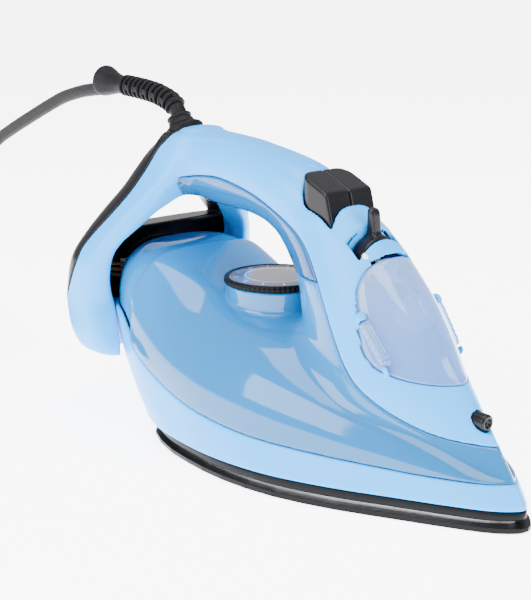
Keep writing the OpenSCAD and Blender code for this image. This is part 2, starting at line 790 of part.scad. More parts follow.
// Smooth route through way points, with s steps between each two
function through(p, s) =
    let (n = len(p) - 1)
    concat([for (i = [0:n - 1]) for (k = [0:s - 1])
        let (t = k / s, a = p[max(i - 1, 0)], b = p[i], c = p[i + 1], e = p[min(i + 2, n)])
        0.5 * (2 * b + (c - a) * t + (2 * a - 5 * b + 4 * c - e) * t * t
            + (3 * b - a - 3 * c + e) * t * t * t)], [p[n]]);
hose_r = 1.7;
SPRAY_ROUTE = [[30.5, 8.2, 105], [33, 8.8, 104.9], [36, 12.6, 104.3], [40, 16.8, 103.4],
    [47, 17.4, 102.8], [54, 15, 102], [63.5, 14, 95], [72.5, 13, 84], [82, 11.5, 71],
    [88.5, 8.5, 61.6], [94.5, 4.9, 55], [101, 1.2, 48.6]];
SHOT_ROUTE = [[30.5, -8.2, 103.6], [33, -8.8, 103.7], [37, -11.6, 103], [40.9, -11.4, 99.9],
    [42, -11, 95], [42, -11, 80], [42, -11, 60], [42, -11, 40], [42, -11, 13.6]];
DUCT = [[80.5, 11.8, 74], [88.5, 8.5, 61.6], [94.5, 4.9, 55], [103.2, 0, 46.6]];
module spray_hose() {
    color("#D8E4EE")
        tube(through(SPRAY_ROUTE, 3), hose_r);
}
module steam_shot_hose() {
    color("#D8E4EE")
        tube(through(SHOT_ROUTE, 2), hose_r);
}
feed_xy = [15.9, 0];
module pump_feed_hose() {
    color("#D8E4EE") {
        translate([feed_xy[0], feed_xy[1], 30])
            cylinder(h = 75, r = hose_r, $fn = 24);
        translate([feed_xy[0], -8, 105])
            rotate([-90, 0, 0])
                cylinder(h = 16, r = hose_r, $fn = 24);
    }
}
seal_z1 = 24.2;
module valve_seal() {
    color("#D9D9D5")
        translate([valve_x, 0, 0])
            difference() {
                translate([0, 0, cast_top + chamber_h + 1.3])
                    cylinder(h = seal_z1 - (cast_top + chamber_h + 1.3), r = 4);
                translate([0, 0, 10])
                    cylinder(h = 20, r = 2.65);
            }
}
module valve_seat() {
    color("#C9A24B")
        translate([valve_x, 0, 0])
            difference() {
                translate([0, 0, cast_top + chamber_h - 0.6])
                    cylinder(h = 7, r = 2.55);
                translate([0, 0, cast_top])
                    cylinder(h = 20, r = 0.9, $fn = 24);
            }
}
needle_z0 = 20.9;
needle_z1 = drum_z - 5.2;
module valve_needle() {
    color("#E8E8E4")
        translate([valve_x, 0, 0])
            rotate_extrude($fn = 32)
                polygon([[0, needle_z0], [0.8, needle_z0 + 0.6], [2.1, needle_z0 + 4],
                    [2.1, needle_z1 - 2], [1.6, needle_z1], [0, needle_z1]]);
}
module thermostat() {
    color("#D8D2C4")
        translate([thermostat_xy[0], thermostat_xy[1], cast_top + 3])
            difference() {
                union() {
                    cylinder(h = 6.6, r = 8.5);
                    translate([-15, -5, 3])
                        cube([30, 10, 1.6]);
                    cylinder(h = 9.4, r = 4.2);
                }
                translate([0, 0, 5])
                    cylinder(h = 10, r = 2.9);
            }
}
module thermal_fuse() {
    color("#B8BCC0")
        translate([2, -8, cast_top + 2.4])
            rotate([0, 90, 0])
                cylinder(h = 16, r = 2.3, $fn = 24);
}
module indicator_lens() {
    color("#F4F8FF", 0.8)
        at_lamp()
            translate([0, 0, -1.4])
                cylinder(h = 1.8, r = 1.75, $fn = 24);
}

// ---- electrical parts ----
block_x0 = -139.2;
block_x1 = -131.8;
block_z0 = 70;
block_z1 = 81;
module terminal_block() {
    color("#EDEBE3")
        difference() {
            translate([block_x0, -17, block_z0])
                cube([block_x1 - block_x0, 34, block_z1 - block_z0]);
            for (k = [-1:1])
                translate([block_x0 - 1, k * 10.5, (block_z0 + block_z1) / 2])
                    rotate([0, 90, 0])
                        cylinder(h = 4.5, r = 2.2, $fn = 24);
        }
}
// Three mains cores from the gland, down inside one leg, to the terminal block
module lead_wires() {
    color("#8A5A2B")
        for (k = [-1:1])
            tube(through([[-95.5, 2.8 * k, 149.8], [-94.3, 2.8 * k, 147.9], [-96, 2.8 * k - 1, 144],
                [-104, 3 * k - 8, 138], [-111 + k, -21, 129 + 2 * k], [-115 + 3 * k, -33.5, 116],
                [-118 + 2.6 * k, -46.4, 102 + 0.8 * k], [-128 + 1.5 * k, -44 - 2 * k, 90 + 2 * k],
                [-134 + k, -32, 79 + 3 * k], [-135.5, -17.3, 75.5 + 3.2 * k]], 2), 1.1, 6);
}
// Sheathed wires from the terminal block, under the tank, to the thermostat
HARNESS_ROUTE = [[-135.5, 0, 69.9], [-135.5, 0, 62], [-132, 0, 53.6], [-122, 0, 49.2], [-104, 0, 42],
    [-86, 0, 32], [-75, 0, 20], [-66, 0, 14.4], [-54, 0, 13.8], [-42, 0, 13.8]];
module inner_harness() {
    color("#2A2A2A")
        tube(through(HARNESS_ROUTE, 2), 2.2);
}
clamp_half = 10.2;
clamp_t = 3;
clamp_z = -9.6;
clamp_screw_y = 7.4;
module cord_clamp() {
    color("#EDEBE3")
        at_gland()
            difference() {
                translate([-6, -clamp_half, clamp_z])
                    cube([12, 2 * clamp_half, clamp_t]);
                translate([0, 0, clamp_z - 1])
                    cylinder(h = clamp_t + 2, r = sleeve_stem_r + 0.1, $fn = 32);
                for (side = [-1, 1])
                    translate([0, side * clamp_screw_y, clamp_z - 1])
                        cylinder(h = clamp_t + 2, r = 1.3, $fn = 24);
            }
}
// One pan-head screw pointing down, its head standing on z = 0
module screw(r, head_r, head_h, length) {
    cylinder(h = head_h, r = head_r, $fn = 24);
    translate([0, 0, -length])
        cylinder(h = length + eps, r = r, $fn = 24);
}
module cord_clamp_screws() {
    color("#C8CACC")
        at_gland()
            for (side = [-1, 1])
                translate([0, side * clamp_screw_y, clamp_z + clamp_t])
                    screw(1.25, 2.3, 1.5, 5);
}
module sole_screws() {
    color("#C8CACC")
        for (p = POSTS)
            translate([p[0], p[1], floor_z1])
                screw(screw_r - 0.05, 3.1, 1.8, 8.5);
}

// ---- temperature dial ----
dial_floor = 1.4;
cap_r = dial_r - 2.6;
module dial_rim() {
    tooth = 0.35;
    teeth = [for (k = [0:2 * dial_teeth - 1])
        let (a = 180 * k / dial_teeth, r = dial_r - (k % 2) * tooth)
        [r * cos(a), r * sin(a)]];
    color("#1F1F22")
        translate([thermostat_xy[0], thermostat_xy[1], dial_z0])
            difference() {
                linear_extrude(dial_h)
                    polygon(teeth);
                translate([0, 0, dial_h - 1])
                    cylinder(h = 2, r = cap_r);
                translate([0, 0, -1])
                    cylinder(h = 1 + dial_floor, r = shaft_r, $fn = 32);
            }
}
module dial_cap() {
    color("#9C9AB0")
        translate([thermostat_xy[0], thermostat_xy[1], dial_z1 - 1])
            cylinder(h = 0.8, r = cap_r - 0.1);
}
shaft_z0 = 16;
module dial_shaft() {
    color("#D8D8DC")
        translate([thermostat_xy[0], thermostat_xy[1], shaft_z0])
            cylinder(h = dial_z0 + dial_floor - shaft_z0, r = shaft_r, $fn = 32);
}

// ---- buttons, pistons and springs ----
module button(side) {
    color("#92D0FA")
        translate([0, side * (button_half + button_seam / 2) / 2, 0])
            side_slab(BUTTON, button_half - button_seam / 2);
}
module steam_button() button(-1);
module spray_button() button(1);
rod_r = 2;
piston_h = 3;
module piston(side) {
    color("#F2F2F2")
        translate([pump_xy[0], side * pump_xy[1], piston_z0]) {
            cylinder(h = piston_h, r = piston_r);
            translate([0, 0, piston_h - eps])
                cylinder(h = BUTTON[4][1] - piston_z0 - piston_h + eps, r = rod_r, $fn = 24);
        }
}
module steam_piston() piston(-1);
module spray_piston() piston(1);
coil_wire_r = 0.3;
coil_mid_r = 3.6;
coil_steps = 40;
// Helical spring between the pump's floor and the piston
module spring(side) {
    span = piston_z0 - pump_floor - 2 * coil_wire_r;
    color("#B9BCC0")
        translate([pump_xy[0], side * pump_xy[1], pump_floor + coil_wire_r])
            ring_skin([for (i = [0:coil_steps]) let (a = 1260 * i / coil_steps, c = cos(a), s = sin(a))
                [for (k = [0:5]) let (q = coil_mid_r + coil_wire_r * cos(60 * k))
                    [q * c, q * s, span * i / coil_steps - coil_wire_r * sin(60 * k)]]]);
}
module steam_button_spring() spring(-1);
module spray_button_spring() spring(1);

// ---- steam lever ----
hub_r = 3.6;
axle_r = 2;
drum_t = 1.8;
drum_cut = 3;
FIN = [[42.6, 117.5], [42.8, 133.2], [43.8, 134.6], [46.2, 133.6], [47.2, 132], [48.6, 117.5]];
module at_drum() {
    translate([lever_x0, 0, drum_z])
        rotate([0, 90, 0])
            children();
}
module steam_lever() {
    width = lever_x1 - lever_x0;
    color("#5AB4F2") {
        at_drum() {
            difference() {
                cylinder(h = width, r = drum_r);
                translate([0, 0, -1])
                    cylinder(h = width + 2, r = drum_r - drum_t);
                translate([-drum_cut, -drum_r - 1, -1])
                    cube([drum_r + drum_cut + 1, 2 * drum_r + 2, width + 2]);
            }
            cylinder(h = width, r = hub_r, $fn = 32);
            translate([-drum_r + drum_t - 0.4, -1.2, width / 2 - 3])
                cube([drum_r - drum_t - 1, 2.4, 6]);
            translate([0, 0, -3])
                cylinder(h = width + 6, r = axle_r, $fn = 32);
        }
        difference() {
            side_slab(FIN, fin_t);
            at_drum()
                translate([0, 0, -1])
                    cylinder(h = width + 2, r = drum_r - 0.6);
        }
    }
}
cheek_t = 1.6;
cheek_gap = 0.6;
// Bracket on the tank that carries the lever's axle
module lever_bracket() {
    x0 = lever_x0 - cheek_gap - cheek_t;
    x1 = lever_x1 + cheek_gap;
    color("#E4E6E8")
        difference() {
            union() {
                translate([x0, -6, tank_top + 0.1])
                    cube([x1 + cheek_t - x0, 12, 1.2]);
                for (x = [x0, x1])
                    translate([x, -4.5, tank_top + 0.1])
                        cube([cheek_t, 9, 10.6]);
            }
            translate([valve_x, 0, tank_top - 1])
                cylinder(h = 4, r = 2.6, $fn = 32);
            translate([x0 - 1, 0, drum_z])
                rotate([0, 90, 0])
                    cylinder(h = 30, r = axle_r + 0.05, $fn = 32);
        }
}

// ---- filler lid's plug and pin ----
plug_lip_r = 9;
module filler_plug() {
    color("#E9EEF2")
        at_inlet()
            rotate_extrude()
                polygon([[0, -1.4], [6.1, -1.4], [6.5, 0], [6.5, 1.2], [plug_lip_r, 1.2],
                    [plug_lip_r, 2.4], [4.5, 3], [4.5, plug_top], [0, plug_top]]);
}
plug_top = 4.4;
pin_half = knuckle_y0 + knuckle_w;
// Ear on the tank that holds the lid's hinge pin
module lid_bracket() {
    ear = knuckle_y0 - 0.3;
    color("#E4E6E8")
        difference() {
            union() {
                translate([53, -5, tank_top + 0.1])
                    cube([7, 10, 1.2]);
                translate([lid_hinge[0] - 1.4, -ear, tank_top + 0.1])
                    cube([2 * ear_r - 0.1, 2 * ear, lid_hinge[1] - tank_top - 0.1]);
                translate([lid_hinge[0], -ear, lid_hinge[1]])
                    rotate([-90, 0, 0])
                        cylinder(h = 2 * ear, r = ear_r, $fn = 32);
            }
            translate([lid_hinge[0], -10, lid_hinge[1]])
                rotate([-90, 0, 0])
                    cylinder(h = 20, r = lid_pin_r + 0.05, $fn = 32);
        }
}
module lid_hinge_pin() {
    color("#C8CACC")
        translate([lid_hinge[0], -pin_half, lid_hinge[1]])
            rotate([-90, 0, 0])
                cylinder(h = 2 * pin_half, r = lid_pin_r, $fn = 24);
}

// ---- mains lead ----
sleeve_stem_r = 4.6;
module cord_collar() {
    color("#1D1D20")
        at_gland()
            rotate_extrude()
                polygon([[sleeve_stem_r + 0.05, -4.8], [gland_r - 0.6, -4.8], [gland_r, -4], [gland_r, 0.6],
                    [gland_r - 1.6, 2], [7.4, 3.2], [6.8, 8.4], [6, 8.4], [sleeve_stem_r + 0.7, 4],
                    [sleeve_stem_r + 0.4, 0]]);
}
// Middle line of the sleeve, from inside the grip to the mouth of its bell
SLEEVE_ROUTE = [[-95.7, 0, 150.2], [-97.9, 0, 153.6], [-100, 0, 157], [-102, 0, 160.8], [-104, 0, 165],
    [-107, 0, 169], [-112, 0, 171.8], [-118, 0, 173.6], [-124, 0, 175], [-136, 0, 176.4],
    [-149, 0, 177.2], [-156, 0, 177.4], [-164.5, 0, 177.8], [-173.5, 0, 178.6]];
BELL_R = [[0, 5.4], [4, 5.2], [8, 5.6], [12, 6.7], [16, 8], [18.4, 8.9]];
rib_r = 6.1;
module cord_sleeve() {
    // way along the route: stem, ribs, then the bell and back inside it
    line = through(SLEEVE_ROUTE, 6);
    n = len(line) - 1;
    stem_end = 26;
    bell_start = n - 17;
    pitch = (bell_start - stem_end) / sleeve_ribs;
    ribs = [for (k = [0:sleeve_ribs - 1]) let (a = stem_end + pitch * k)
        each [[a, 4.7], [a + 0.28 * pitch, 4.7], [a + 0.34 * pitch, rib_r], [a + 0.9 * pitch, rib_r],
            [a + 0.96 * pitch, 4.7]]];
    bell = [for (k = [0:len(BELL_R) - 1]) [bell_start + 17 * k / (len(BELL_R) - 1), BELL_R[k][1]]];
    inside = [[n - 0.01, 8], [n - 4, 6.2], [n - 9, 4.2], [n - 12, 4.1]];
    stations = concat([[0, sleeve_stem_r], [stem_end - 9, sleeve_stem_r]], ribs, bell, inside);
    dirs = [for (s = stations) let (i = clamp(floor(s[0]), 0, n - 1)) unit(line[i + 1] - line[i])];
    mids = [for (s = stations) let (i = clamp(floor(s[0]), 0, n - 1))
        line[i] + (s[0] - i) * (line[i + 1] - line[i])];
    color("#1D1D20")
        ring_skin([for (j = [0:len(stations) - 1])
            let (u = [0, 1, 0], v = cross(dirs[j], u), q = stations[j][1])
            [for (k = [0:11]) mids[j] + q * (cos(30 * k) * u + sin(30 * k) * v)]]);
}
CORD_ROUTE = [[-160, 0, 177.4], [-168, 0, 176], [-177, 0, 173.6], [-188, 0, 172], [-200, 0, 169.8],
    [-218, 0, 165], [-237, 0, 157.6], [-257, 0, 149.2], [-276, 0, 141], [-294, 0, 132.6],
    [-311, -1, 122], [-326, -4, 109], [-339, -9, 94], [-348, -16, 77], [-352.6, -24, 60],
    [-354.6, -34, 45], [-354.2, -45, 32.6], [-351.2, -55.4, 24.2], [-346.6, -64.6, 19.6]];
coil_at = [-300, -72];
coil_r = 40;
coil_z0 = 0.8;
lanes = 3;
module cord() {
    color("#26262A")
        tube(through(CORD_ROUTE, 2), cord_d / 2, 10);
}
coil_layers = 1 + ceil((coil_turns - lanes) / (lanes - 1));
coil_h = cord_d * (1 + 0.87 * (coil_layers - 1));
coil_half = lanes * cord_d / 2;
// Half width of the topmost layer
coil_crest = coil_half - (coil_layers - 1) * cord_d / 2;
module cord_coil() {
    color("#26262A")
        translate([coil_at[0], coil_at[1], coil_z0])
            rotate_extrude()
                polygon([[coil_r - coil_half, cord_d * 0.25], [coil_r - coil_half + 2, 0],
                    [coil_r + coil_half - 2, 0], [coil_r + coil_half, cord_d * 0.25],
                    [coil_r + coil_half, cord_d * 0.8], [coil_r + coil_crest, coil_h],
                    [coil_r - coil_crest, coil_h], [coil_r - coil_half, cord_d * 0.8]]);
}
tie_a = 20;
tie_t = 0.8;
tie_w = 9;
module cord_tie() {
    color("#3A3A3E")
        translate([coil_at[0], coil_at[1], 0])
            rotate([0, 0, tie_a])
                difference() {
                    translate([coil_r - coil_half - tie_t - 0.3, -tie_w / 2, 0])
                        cube([2 * (coil_half + tie_t + 0.3), tie_w, coil_z0 + coil_h + tie_t]);
                    translate([coil_r - coil_half - 0.3, -tie_w / 2 - 1, coil_z0 - eps])
                        cube([2 * (coil_half + 0.3), tie_w + 2, coil_h + eps]);
                }
}
// Plug lying flat beside the coil, pins up, its lead entering from the side
plug_at = [-249, -121];
plug_r = 18.6;
plug_h = 17;
plug_neck = [-282, -120.4];
pin_gap = 19;
module plug_body() {
    color("#232326") {
        translate([plug_at[0], plug_at[1], 0]) {
            cylinder(h = plug_h - 3, r = plug_r);
            translate([0, 0, plug_h - 3 - eps])
                cylinder(h = 3, r1 = plug_r, r2 = plug_r - 2);
        }
        translate([plug_neck[0], plug_neck[1], coil_z0 + cord_d / 2 + 1.2])
            rotate([0, 90, -1])
                cylinder(h = 20, r1 = cord_d / 2 + 0.6, r2 = 5.6, $fn = 32);
    }
}
module plug_pins() {
    color("#D9C27A")
        for (side = [-1, 1])
            translate([plug_at[0], plug_at[1] + side * pin_gap / 2, plug_h - eps]) {
                cylinder(h = 17.6, r = 2.4, $fn = 32);
                translate([0, 0, 17.6 - eps])
                    cylinder(h = 1.4, r1 = 2.4, r2 = 1.4, $fn = 32);
            }
}

sole_plate();
sole_casting();
heating_element();
steam_chamber_cover();
heat_skirt();
lower_housing();
water_tank();
tank_base();
upper_housing();
handle_insert();
rear_cover();
filler_inlet();
spray_nozzle();
spray_hose();
steam_pump();
spray_pump();
steam_shot_hose();
pump_feed_hose();
valve_seal();
valve_seat();
lever_bracket();
thermostat();
thermal_fuse();
indicator_lens();
terminal_block();
lead_wires();
inner_harness();
cord_clamp();
cord_clamp_screws();
sole_screws();
dial_rim();
dial_cap();
dial_shaft();
steam_button();
steam_piston();
steam_button_spring();
spray_button();
spray_piston();
spray_button_spring();
steam_lever();
valve_needle();
filler_lid();
filler_plug();
lid_hinge_pin();
lid_bracket();
cord_collar();
cord_sleeve();
cord();
cord_coil();
cord_tie();
plug_body();
plug_pins();
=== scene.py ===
"""Steam iron: detailed pieces, materials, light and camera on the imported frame."""

import math

import bpy
import numpy as np
from mathutils import Matrix, Vector


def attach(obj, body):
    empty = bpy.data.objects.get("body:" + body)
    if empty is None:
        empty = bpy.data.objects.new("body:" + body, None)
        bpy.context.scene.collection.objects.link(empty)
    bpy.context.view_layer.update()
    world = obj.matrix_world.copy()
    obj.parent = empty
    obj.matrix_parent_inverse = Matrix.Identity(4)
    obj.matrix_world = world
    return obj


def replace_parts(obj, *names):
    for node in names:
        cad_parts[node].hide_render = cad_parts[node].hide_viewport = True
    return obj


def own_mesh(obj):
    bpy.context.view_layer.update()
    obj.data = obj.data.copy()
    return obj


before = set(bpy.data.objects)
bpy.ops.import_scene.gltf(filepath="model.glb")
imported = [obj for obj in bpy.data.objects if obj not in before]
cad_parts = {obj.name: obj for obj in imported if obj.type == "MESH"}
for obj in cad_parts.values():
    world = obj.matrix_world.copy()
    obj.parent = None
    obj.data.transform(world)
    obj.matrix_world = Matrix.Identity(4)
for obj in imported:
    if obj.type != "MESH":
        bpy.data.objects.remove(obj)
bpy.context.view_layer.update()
MM = 0.001

# ---------------------------------------------------------------- body curves, as in part.scad
TIP = [[0, 144.4], [10, 142.2], [21, 136], [30, 130], [45, 119.5], [66, 105]]
STERN = [[0, -86], [11, -93], [26, -106], [43, -118], [66, -127]]
HALF = [[0, 62], [11, 62], [26, 60.5], [43, 58.5], [66, 56]]
BOAT = [[1, 0], [0.985, 0.1], [0.95, 0.215], [0.88, 0.36], [0.78, 0.545], [0.66, 0.76],
        [0.53, 0.93], [0.4, 0.998], [0.28, 0.98], [0.16, 0.9], [0.06, 0.72], [0.012, 0.42], [0, 0]]
PARTING = [[0, 65], [0.1, 63], [0.16, 50], [0.22, 41], [0.33, 32], [0.48, 26.5], [0.68, 23.5],
           [0.85, 21.5], [1, 21]]
CROWN = [[-127, 140], [-115, 128], [-103, 118], [-80, 101], [-60, 89], [-40, 80], [-12, 75],
         [20, 71], [50, 64], [80, 54], [104, 43], [125, 29], [138, 22]]
NOSE = [[14, 137.8], [21, 135.8], [30, 130], [40, 122.4], [53, 110], [60, 103.8], [75, 93.2],
        [88, 82.6], [100, 71.5], [112, 60], [117, 54.8], [121, 50.2], [126, 41], [131, 35], [134, 31]]
MID = [[14, 60], [54, 55], [76, 48], [92, 40], [103, 34], [114, 27], [121, 22], [134, 16]]
BACK = [[14, 12], [60, 9], [84, 5], [92, 3.5], [101, -1], [108, -7], [116, -14], [134, -14]]
WIDE = [[14, 33], [30, 32], [54, 32], [76, 29.5], [92, 27.5], [103, 25], [114, 22], [121, 20],
        [128, 18.3], [134, 15]]
POWER = [[14, 1.3], [38, 1.3], [54, 1.5], [76, 1.75], [100, 2], [134, 2.2]]
GRIP = [[[40, 123.5], [1, 97], 19], [[33, 130.5], [-6, 106.5], 18.6], [[20, 140], [-13, 113], 18.6],
        [[4, 149.5], [-24, 118], 18.4], [[-20, 155], [-39, 120.5], 17.4],
        [[-45, 158], [-58, 121], 16.8], [[-68, 159.7], [-74, 122.5], 17],
        [[-84, 159.8], [-88, 126], 18], [[-97, 157.5], [-99, 131], 17]]
HEEL_F = [[36.5, -98], [40, -92], [55, -98], [66, -104], [80, -103], [92, -100], [104, -94],
          [116, -88], [126, -83], [136, -78], [158.5, -80]]
HEEL_B = [[36.5, -127], [39, -134.5], [43, -139.5], [50, -143.3], [60, -144.5], [72, -143.6],
          [88, -140.5], [101, -135.5], [116, -128], [128, -122], [136, -119], [148, -111],
          [155, -102], [158.5, -92]]
HEEL_W = [[36.5, 51], [39, 55], [43, 57], [50, 58.2], [60, 58.6], [72, 58.5], [90, 57],
          [103, 50.8], [116, 42], [126, 34], [136, 27], [148, 20], [155, 15.5], [158.5, 10]]
EDGE = [[-84, 135], [-66, 138], [-48, 138.5], [-20, 133], [3.5, 123.5], [19, 115], [30, 104],
        [39, 91.5], [49, 75.6], [57, 64.5], [67, 54.8], [85, 44.6], [103, 38.5], [124, 36]]
REAR = [[-88, 162], [-93, 154.5], [-98.7, 146], [-107.4, 120], [-120.5, 98.3], [-123.5, 89],
        [-132.2, 70], [-138, 56], [-143, 46], [-150, 44]]
ARCH = [[0, 129], [8, 127.3], [20, 120.5], [27.5, 115.5], [35, 108], [39.5, 103.5], [42.5, 100],
        [45.5, 94], [46.5, 86], [46, 76], [42, 58]]
LID = [[0, 113], [8, 111.8], [15, 108.3], [19.3, 103], [21.8, 98], [24.2, 89], [25.8, 80],
       [26.3, 71], [25, 65.5], [20, 62], [12, 60.3], [0, 59.8]]
BUTTON = [[8.6, 132], [8.6, 148.8], [28.2, 140.3], [33, 122.5], [30.6, 119.5], [19.5, 119.5]]
FIN = [[42.6, 117.5], [42.8, 133.2], [43.8, 134.6], [46.2, 133.6], [47.2, 132], [48.6, 117.5]]
HEEL_POWER, DOME_POWER, DOME_X = 3.6, 2.5, 5.0
WALL, GAP, TANK_TOP = 2.4, 0.3, 99.7
DIAL_XY, DIAL_Z0, DIAL_Z1 = (-25.0, 0.0), 85.8, 89.2
FAIR_TOP, FAIR_LOW, FAIR_R = (62.6, 25.8, 88.3), (79.2, 23.9, 66.8), 3.0
DRUM_X0, DRUM_X1, DRUM_Z, DRUM_R = 42.4, 50.4, 106.6, 14.6
NOZZLE_AT, NOZZLE_TILT, NOZZLE_R = (108.8, 0.0, 45.8), 92.0, 4.2
INLET_AT, INLET_TILT, INLET_HOLE_R = (73.1, 0.0, 87.7), 52.0, 8.9
GLAND_AT, GLAND_TILT, GLAND_R = (-100.0, 0.0, 157.0), -32.0, 11.0
LAMP_AT, LAMP_TILT = (52.6, -12.4, 114.2), 40.0
HINGE_X, HINGE_Z = 57.3, 109.6
SWING_CUTS = [(4.3, 5.0), (3.9, 7.0), (3.2, 12.5)]    # radius about the hinge, half width
LID_MID_Z, LID_X0 = 86.0, 50.0
SLOT_SIDE = 0.9      # room beside the lever's drum
TIP_LEAN = 1.6       # an inset moves the hull's tip by this many times its own size
BEND = 10.0          # size of the soft fillet where the column stands on the dome


def curve(v, tab):
    """Smooth value of a table at v, held level past both ends."""
    t = np.asarray(tab, float)
    v = np.asarray(v, float)
    xs, ys = t[:, 0], t[:, 1]
    n = len(xs)
    lo = np.maximum(np.arange(n) - 1, 0)
    hi = np.minimum(np.arange(n) + 1, n - 1)
    m = (ys[hi] - ys[lo]) / (xs[hi] - xs[lo])
    i = np.clip(np.searchsorted(xs, v, side="right") - 1, 0, n - 2)
    h = xs[i + 1] - xs[i]
    s = np.clip((v - xs[i]) / h, 0, 1)
    s2, s3 = s * s, s * s * s
    return ((2 * s3 - 3 * s2 + 1) * ys[i] + (s3 - 2 * s2 + s) * h * m[i]
            + (3 * s2 - 2 * s3) * ys[i + 1] + (s3 - s2) * h * m[i + 1])


def spline(points, steps, closed=False):
    """Catmull-Rom line through points, steps to each stretch."""
    p = np.asarray(points, float)
    n = len(p)
    out = []
    for i in range(n if closed else n - 1):
        a = p[i - 1] if (i > 0 or closed) else p[0]
        b, c = p[i], p[(i + 1) % n]
        d = p[(i + 2) % n] if (i + 2 < n or closed) else p[n - 1]
        for k in range(steps):
            t = k / steps
            out.append(0.5 * (2 * b + (c - a) * t + (2 * a - 5 * b + 4 * c - d) * t * t
                              + (3 * b - a - 3 * c + d) * t ** 3))
    if not closed:
        out.append(p[-1])
    return np.array(out)


def boat_line(steps=16):
    """Half outline of the hull from tip to stern, in parts of length and half width."""
    b = np.array(BOAT, float)
    pts = np.vstack([[b[1][0], -b[1][1]], b, [b[-2][0], -b[-2][1]]])
    return spline(pts, steps)[steps:(len(pts) - 2) * steps + 1]


BOAT_LINE = boat_line()


def hull_point(p, z, d):
    """Points of the hull's outline at height z, grown by d."""
    a, b, w = curve(z, STERN) - d, curve(z, TIP) + TIP_LEAN * d, curve(z, HALF) + d
    return a + p[:, 0] * (b - a), p[:, 1] * w


# ---------------------------------------------------------------- fields on a lattice
class Lattice:
    """Regular grid in millimetres; half keeps only y >= 0 of a piece that mirrors about y = 0."""

    def __init__(self, lo, hi, step, half=True):
        self.h = step
        self.half = half
        self.x = np.arange(lo[0], hi[0] + step, step)
        self.y = np.arange(0 if half else lo[1], hi[1] + step, step)
        self.z = np.arange(lo[2], hi[2] + step, step)
        f = np.float32
        self.X = self.x[:, None, None].astype(f)
        self.Y = self.y[None, :, None].astype(f)
        self.Z = self.z[None, None, :].astype(f)

    def level(self, f):
        """Turns an implicit value into a distance near its surface."""
        f = np.broadcast_to(f, (len(self.x), len(self.y), len(self.z)))
        gx, gy, gz = np.gradient(f, self.h)
        return (f / np.maximum(np.sqrt(gx * gx + gy * gy + gz * gz), 1e-4)).astype(np.float32)


def smin(a, b, k):
    """Union of two fields with a fillet about k wide."""
    h = np.maximum(k - np.abs(a - b), 0) / k
    return np.minimum(a, b) - h * h * k * 0.25


def smax(a, b, k):
    return -smin(-a, -b, k)


def polygon_sdf(points, u, v):
    """Signed distance to a closed outline; negative inside."""
    p = np.asarray(points, float)
    best = np.full(np.broadcast(u, v).shape, 1e9)
    inside = np.zeros(best.shape, bool)
    for a, b in zip(p, np.roll(p, -1, axis=0)):
        e = b - a
        wx, wy = u - a[0], v - a[1]
        t = np.clip((wx * e[0] + wy * e[1]) / max(e @ e, 1e-12), 0, 1)
        best = np.minimum(best, (wx - t * e[0]) ** 2 + (wy - t * e[1]) ** 2)
        if a[1] != b[1]:
            cross = a[0] + (v - a[1]) / (b[1] - a[1]) * e[0]
            inside ^= ((a[1] > v) != (b[1] > v)) & (u < cross)
    return np.where(inside, -1, 1) * np.sqrt(best)


def side_sdf(L, points):
    """Outline seen from the side, points of x and z."""
    return polygon_sdf(points, L.x[:, None], L.z[None, :])[:, None, :].astype(np.float32)


def front_sdf(L, half, scale=1.0):
    """Outline seen from the front, half outline of y and z, scaled about the lid's middle."""
    h = np.array([[a * scale, LID_MID_Z + (b - LID_MID_Z) * scale] for a, b in spline(half, 5)])
    full = np.vstack([h, [[-a, b] for a, b in h[::-1] if a > 1e-6]])
    return polygon_sdf(full, L.y[:, None], L.z[None, :])[None, :, :].astype(np.float32)


def polar_table(x, y, centre):
    """Outline as angle and radius round a centre on the x axis, sorted by angle."""
    t = np.arctan2(y, x - centre)
    r = np.hypot(x - centre, y)
    order = np.argsort(t)
    return t[order], r[order], order


def hull_field(L):
    centre = 0.45      # of the outline's length, from the stern
    t, r, _ = polar_table(BOAT_LINE[:, 0], BOAT_LINE[:, 1], centre)
    z = L.z
    a, b, w = curve(z, STERN), curve(z, TIP), curve(z, HALF)
    p = (L.X - a[None, None, :]) / (b - a)[None, None, :]
    q = L.Y / w[None, None, :]
    g = np.hypot(p - centre, q) / np.interp(np.arctan2(q, p - centre), t, r)
    return L.level((g - 1).astype(np.float32))


def parting_heights(L, lift=0.0):
    """Plan distance from the dome's axis as a share of the hull's at the joint, and the joint's height."""
    zp = curve(BOAT_LINE[:, 0], PARTING) + lift
    a, b, w = curve(zp, STERN), curve(zp, TIP), curve(zp, HALF)
    x, y = a + BOAT_LINE[:, 0] * (b - a), BOAT_LINE[:, 1] * w
    t, r, order = polar_table(x, y, DOME_X)
    angle = np.arctan2(L.y[None, :], L.x[:, None] - DOME_X)
    radius = np.hypot(L.x[:, None] - DOME_X, L.y[None, :])
    return radius / np.interp(angle, t, r), np.interp(angle, t, zp[order])


def dome_field(L):
    s, zp = parting_heights(L, GAP)
    top = np.maximum(curve(L.x, CROWN)[:, None], zp + 1)
    rise = np.maximum((L.Z - zp[:, :, None]) / (top - zp)[:, :, None], 0)
    g = (s[:, :, None] ** DOME_POWER + rise ** DOME_POWER) ** (1 / DOME_POWER)
    return L.level((g - 1).astype(np.float32))


def column_field(L):
    z = L.z
    xm, m = curve(z, MID)[None, None, :], curve(z, POWER)[None, None, :]
    front, back = curve(z, NOSE)[None, None, :] - xm, xm - curve(z, BACK)[None, None, :]
    w = curve(z, WIDE)[None, None, :]
    dx = L.X - xm
    m = np.where(dx >= 0, m, 2.0)
    u = np.abs(dx) / np.where(dx >= 0, front, back)
    g = (u ** m + (L.Y / w) ** m) ** (1 / m)
    return L.level((g - 1).astype(np.float32))


